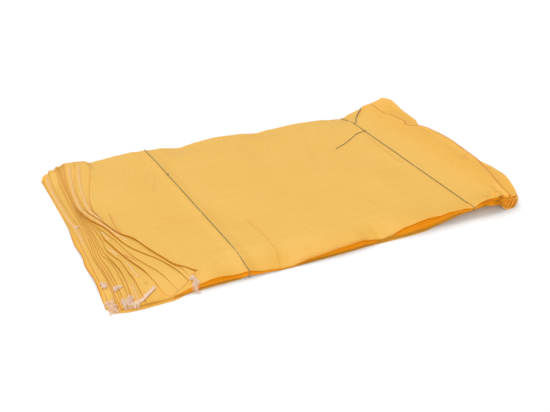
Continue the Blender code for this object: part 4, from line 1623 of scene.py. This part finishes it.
class BUNDLE_OT_frays(bpy.types.Operator):
    """Add the tufts of frayed thread and the loose chain of thread."""

    bl_idname = "bundle.frays"
    bl_label = "Frayed ends"

    def execute(self, context):
        sizes, finish = context.scene.bundle_sizes, context.scene.bundle_finish
        material = thread_material(finish, "pale sewing thread", "thread_colour")
        for number, form in enumerate(TUFTS, 1):
            paths = tuft_paths(*form, TUFT_SEED + number)
            tuft = tubes(f"frayed_ends_{number}", paths, sizes.fibre_radius, 5, material)
            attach(tuft, BODY)
        route = smooth_route(CHAIN_TAIL, CHAIN_STEP)
        travelled = np.arange(len(route)) * CHAIN_STEP / sizes.stitch_length
        start = np.arange(CHAIN_STRANDS)[:, None] / CHAIN_STRANDS
        phase = 2 * math.pi * (travelled + start)
        swing = CHAIN_SWING * np.sin(phase)
        x, y = route[:, 0] + 0.6 * swing, route[:, 1] - 0.8 * swing
        heights = stack_top(x, y) + CHAIN_HEIGHT + CHAIN_RISE * np.sin(2 * phase)
        strands = np.stack([x, y, heights], axis=2)
        chain = tubes("chain_thread_tail", strands, sizes.thread_radius, 6, material)
        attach(chain, BODY)
        return {"FINISHED"}


class BUNDLE_OT_cloth_facts(bpy.types.Operator):
    """An empty step: it states nothing and adds nothing."""

    bl_idname = "bundle.cloth_facts"
    bl_label = "Cloth facts"

    def execute(self, context):
        return {"FINISHED"}


class BUNDLE_PT_panel(bpy.types.Panel):
    """Lists the settings and the steps of this file."""

    bl_label = "Sack bundle"
    bl_idname = "BUNDLE_PT_panel"
    bl_space_type = "VIEW_3D"
    bl_region_type = "UI"
    bl_category = "Sack bundle"

    def draw(self, context):
        scene = context.scene
        for settings in (scene.bundle_sizes, scene.bundle_finish, scene.bundle_stage):
            box = self.layout.box()
            for title in settings.bl_rna.properties.keys():
                if title not in {"rna_type", "name"}:
                    box.prop(settings, title)
        for operator in OPERATORS:
            self.layout.operator(operator.bl_idname)


OPERATORS = (
    BUNDLE_OT_stage,
    BUNDLE_OT_tails,
    BUNDLE_OT_ties,
    BUNDLE_OT_sacks,
    BUNDLE_OT_seams,
    BUNDLE_OT_frays,
    BUNDLE_OT_cloth_facts,
)
SETTINGS = {"bundle_sizes": SackSizes, "bundle_finish": SackFinish, "bundle_stage": StageSettings}


def register():
    for group in (*SETTINGS.values(), *OPERATORS, BUNDLE_PT_panel):
        bpy.utils.register_class(group)
    for title, group in SETTINGS.items():
        setattr(bpy.types.Scene, title, bpy.props.PointerProperty(type=group))


def unregister():
    for title in SETTINGS:
        delattr(bpy.types.Scene, title)
    for group in reversed((*SETTINGS.values(), *OPERATORS, BUNDLE_PT_panel)):
        bpy.utils.unregister_class(group)


def main():
    for thing in list(bpy.data.objects):
        if thing.name in {"Cube", "Light", "Camera"}:
            bpy.data.objects.remove(thing)
    register()
    for operator in OPERATORS:
        section, action = operator.bl_idname.split(".")
        getattr(getattr(bpy.ops, section), action)()


if __name__ == "__main__":
    main()
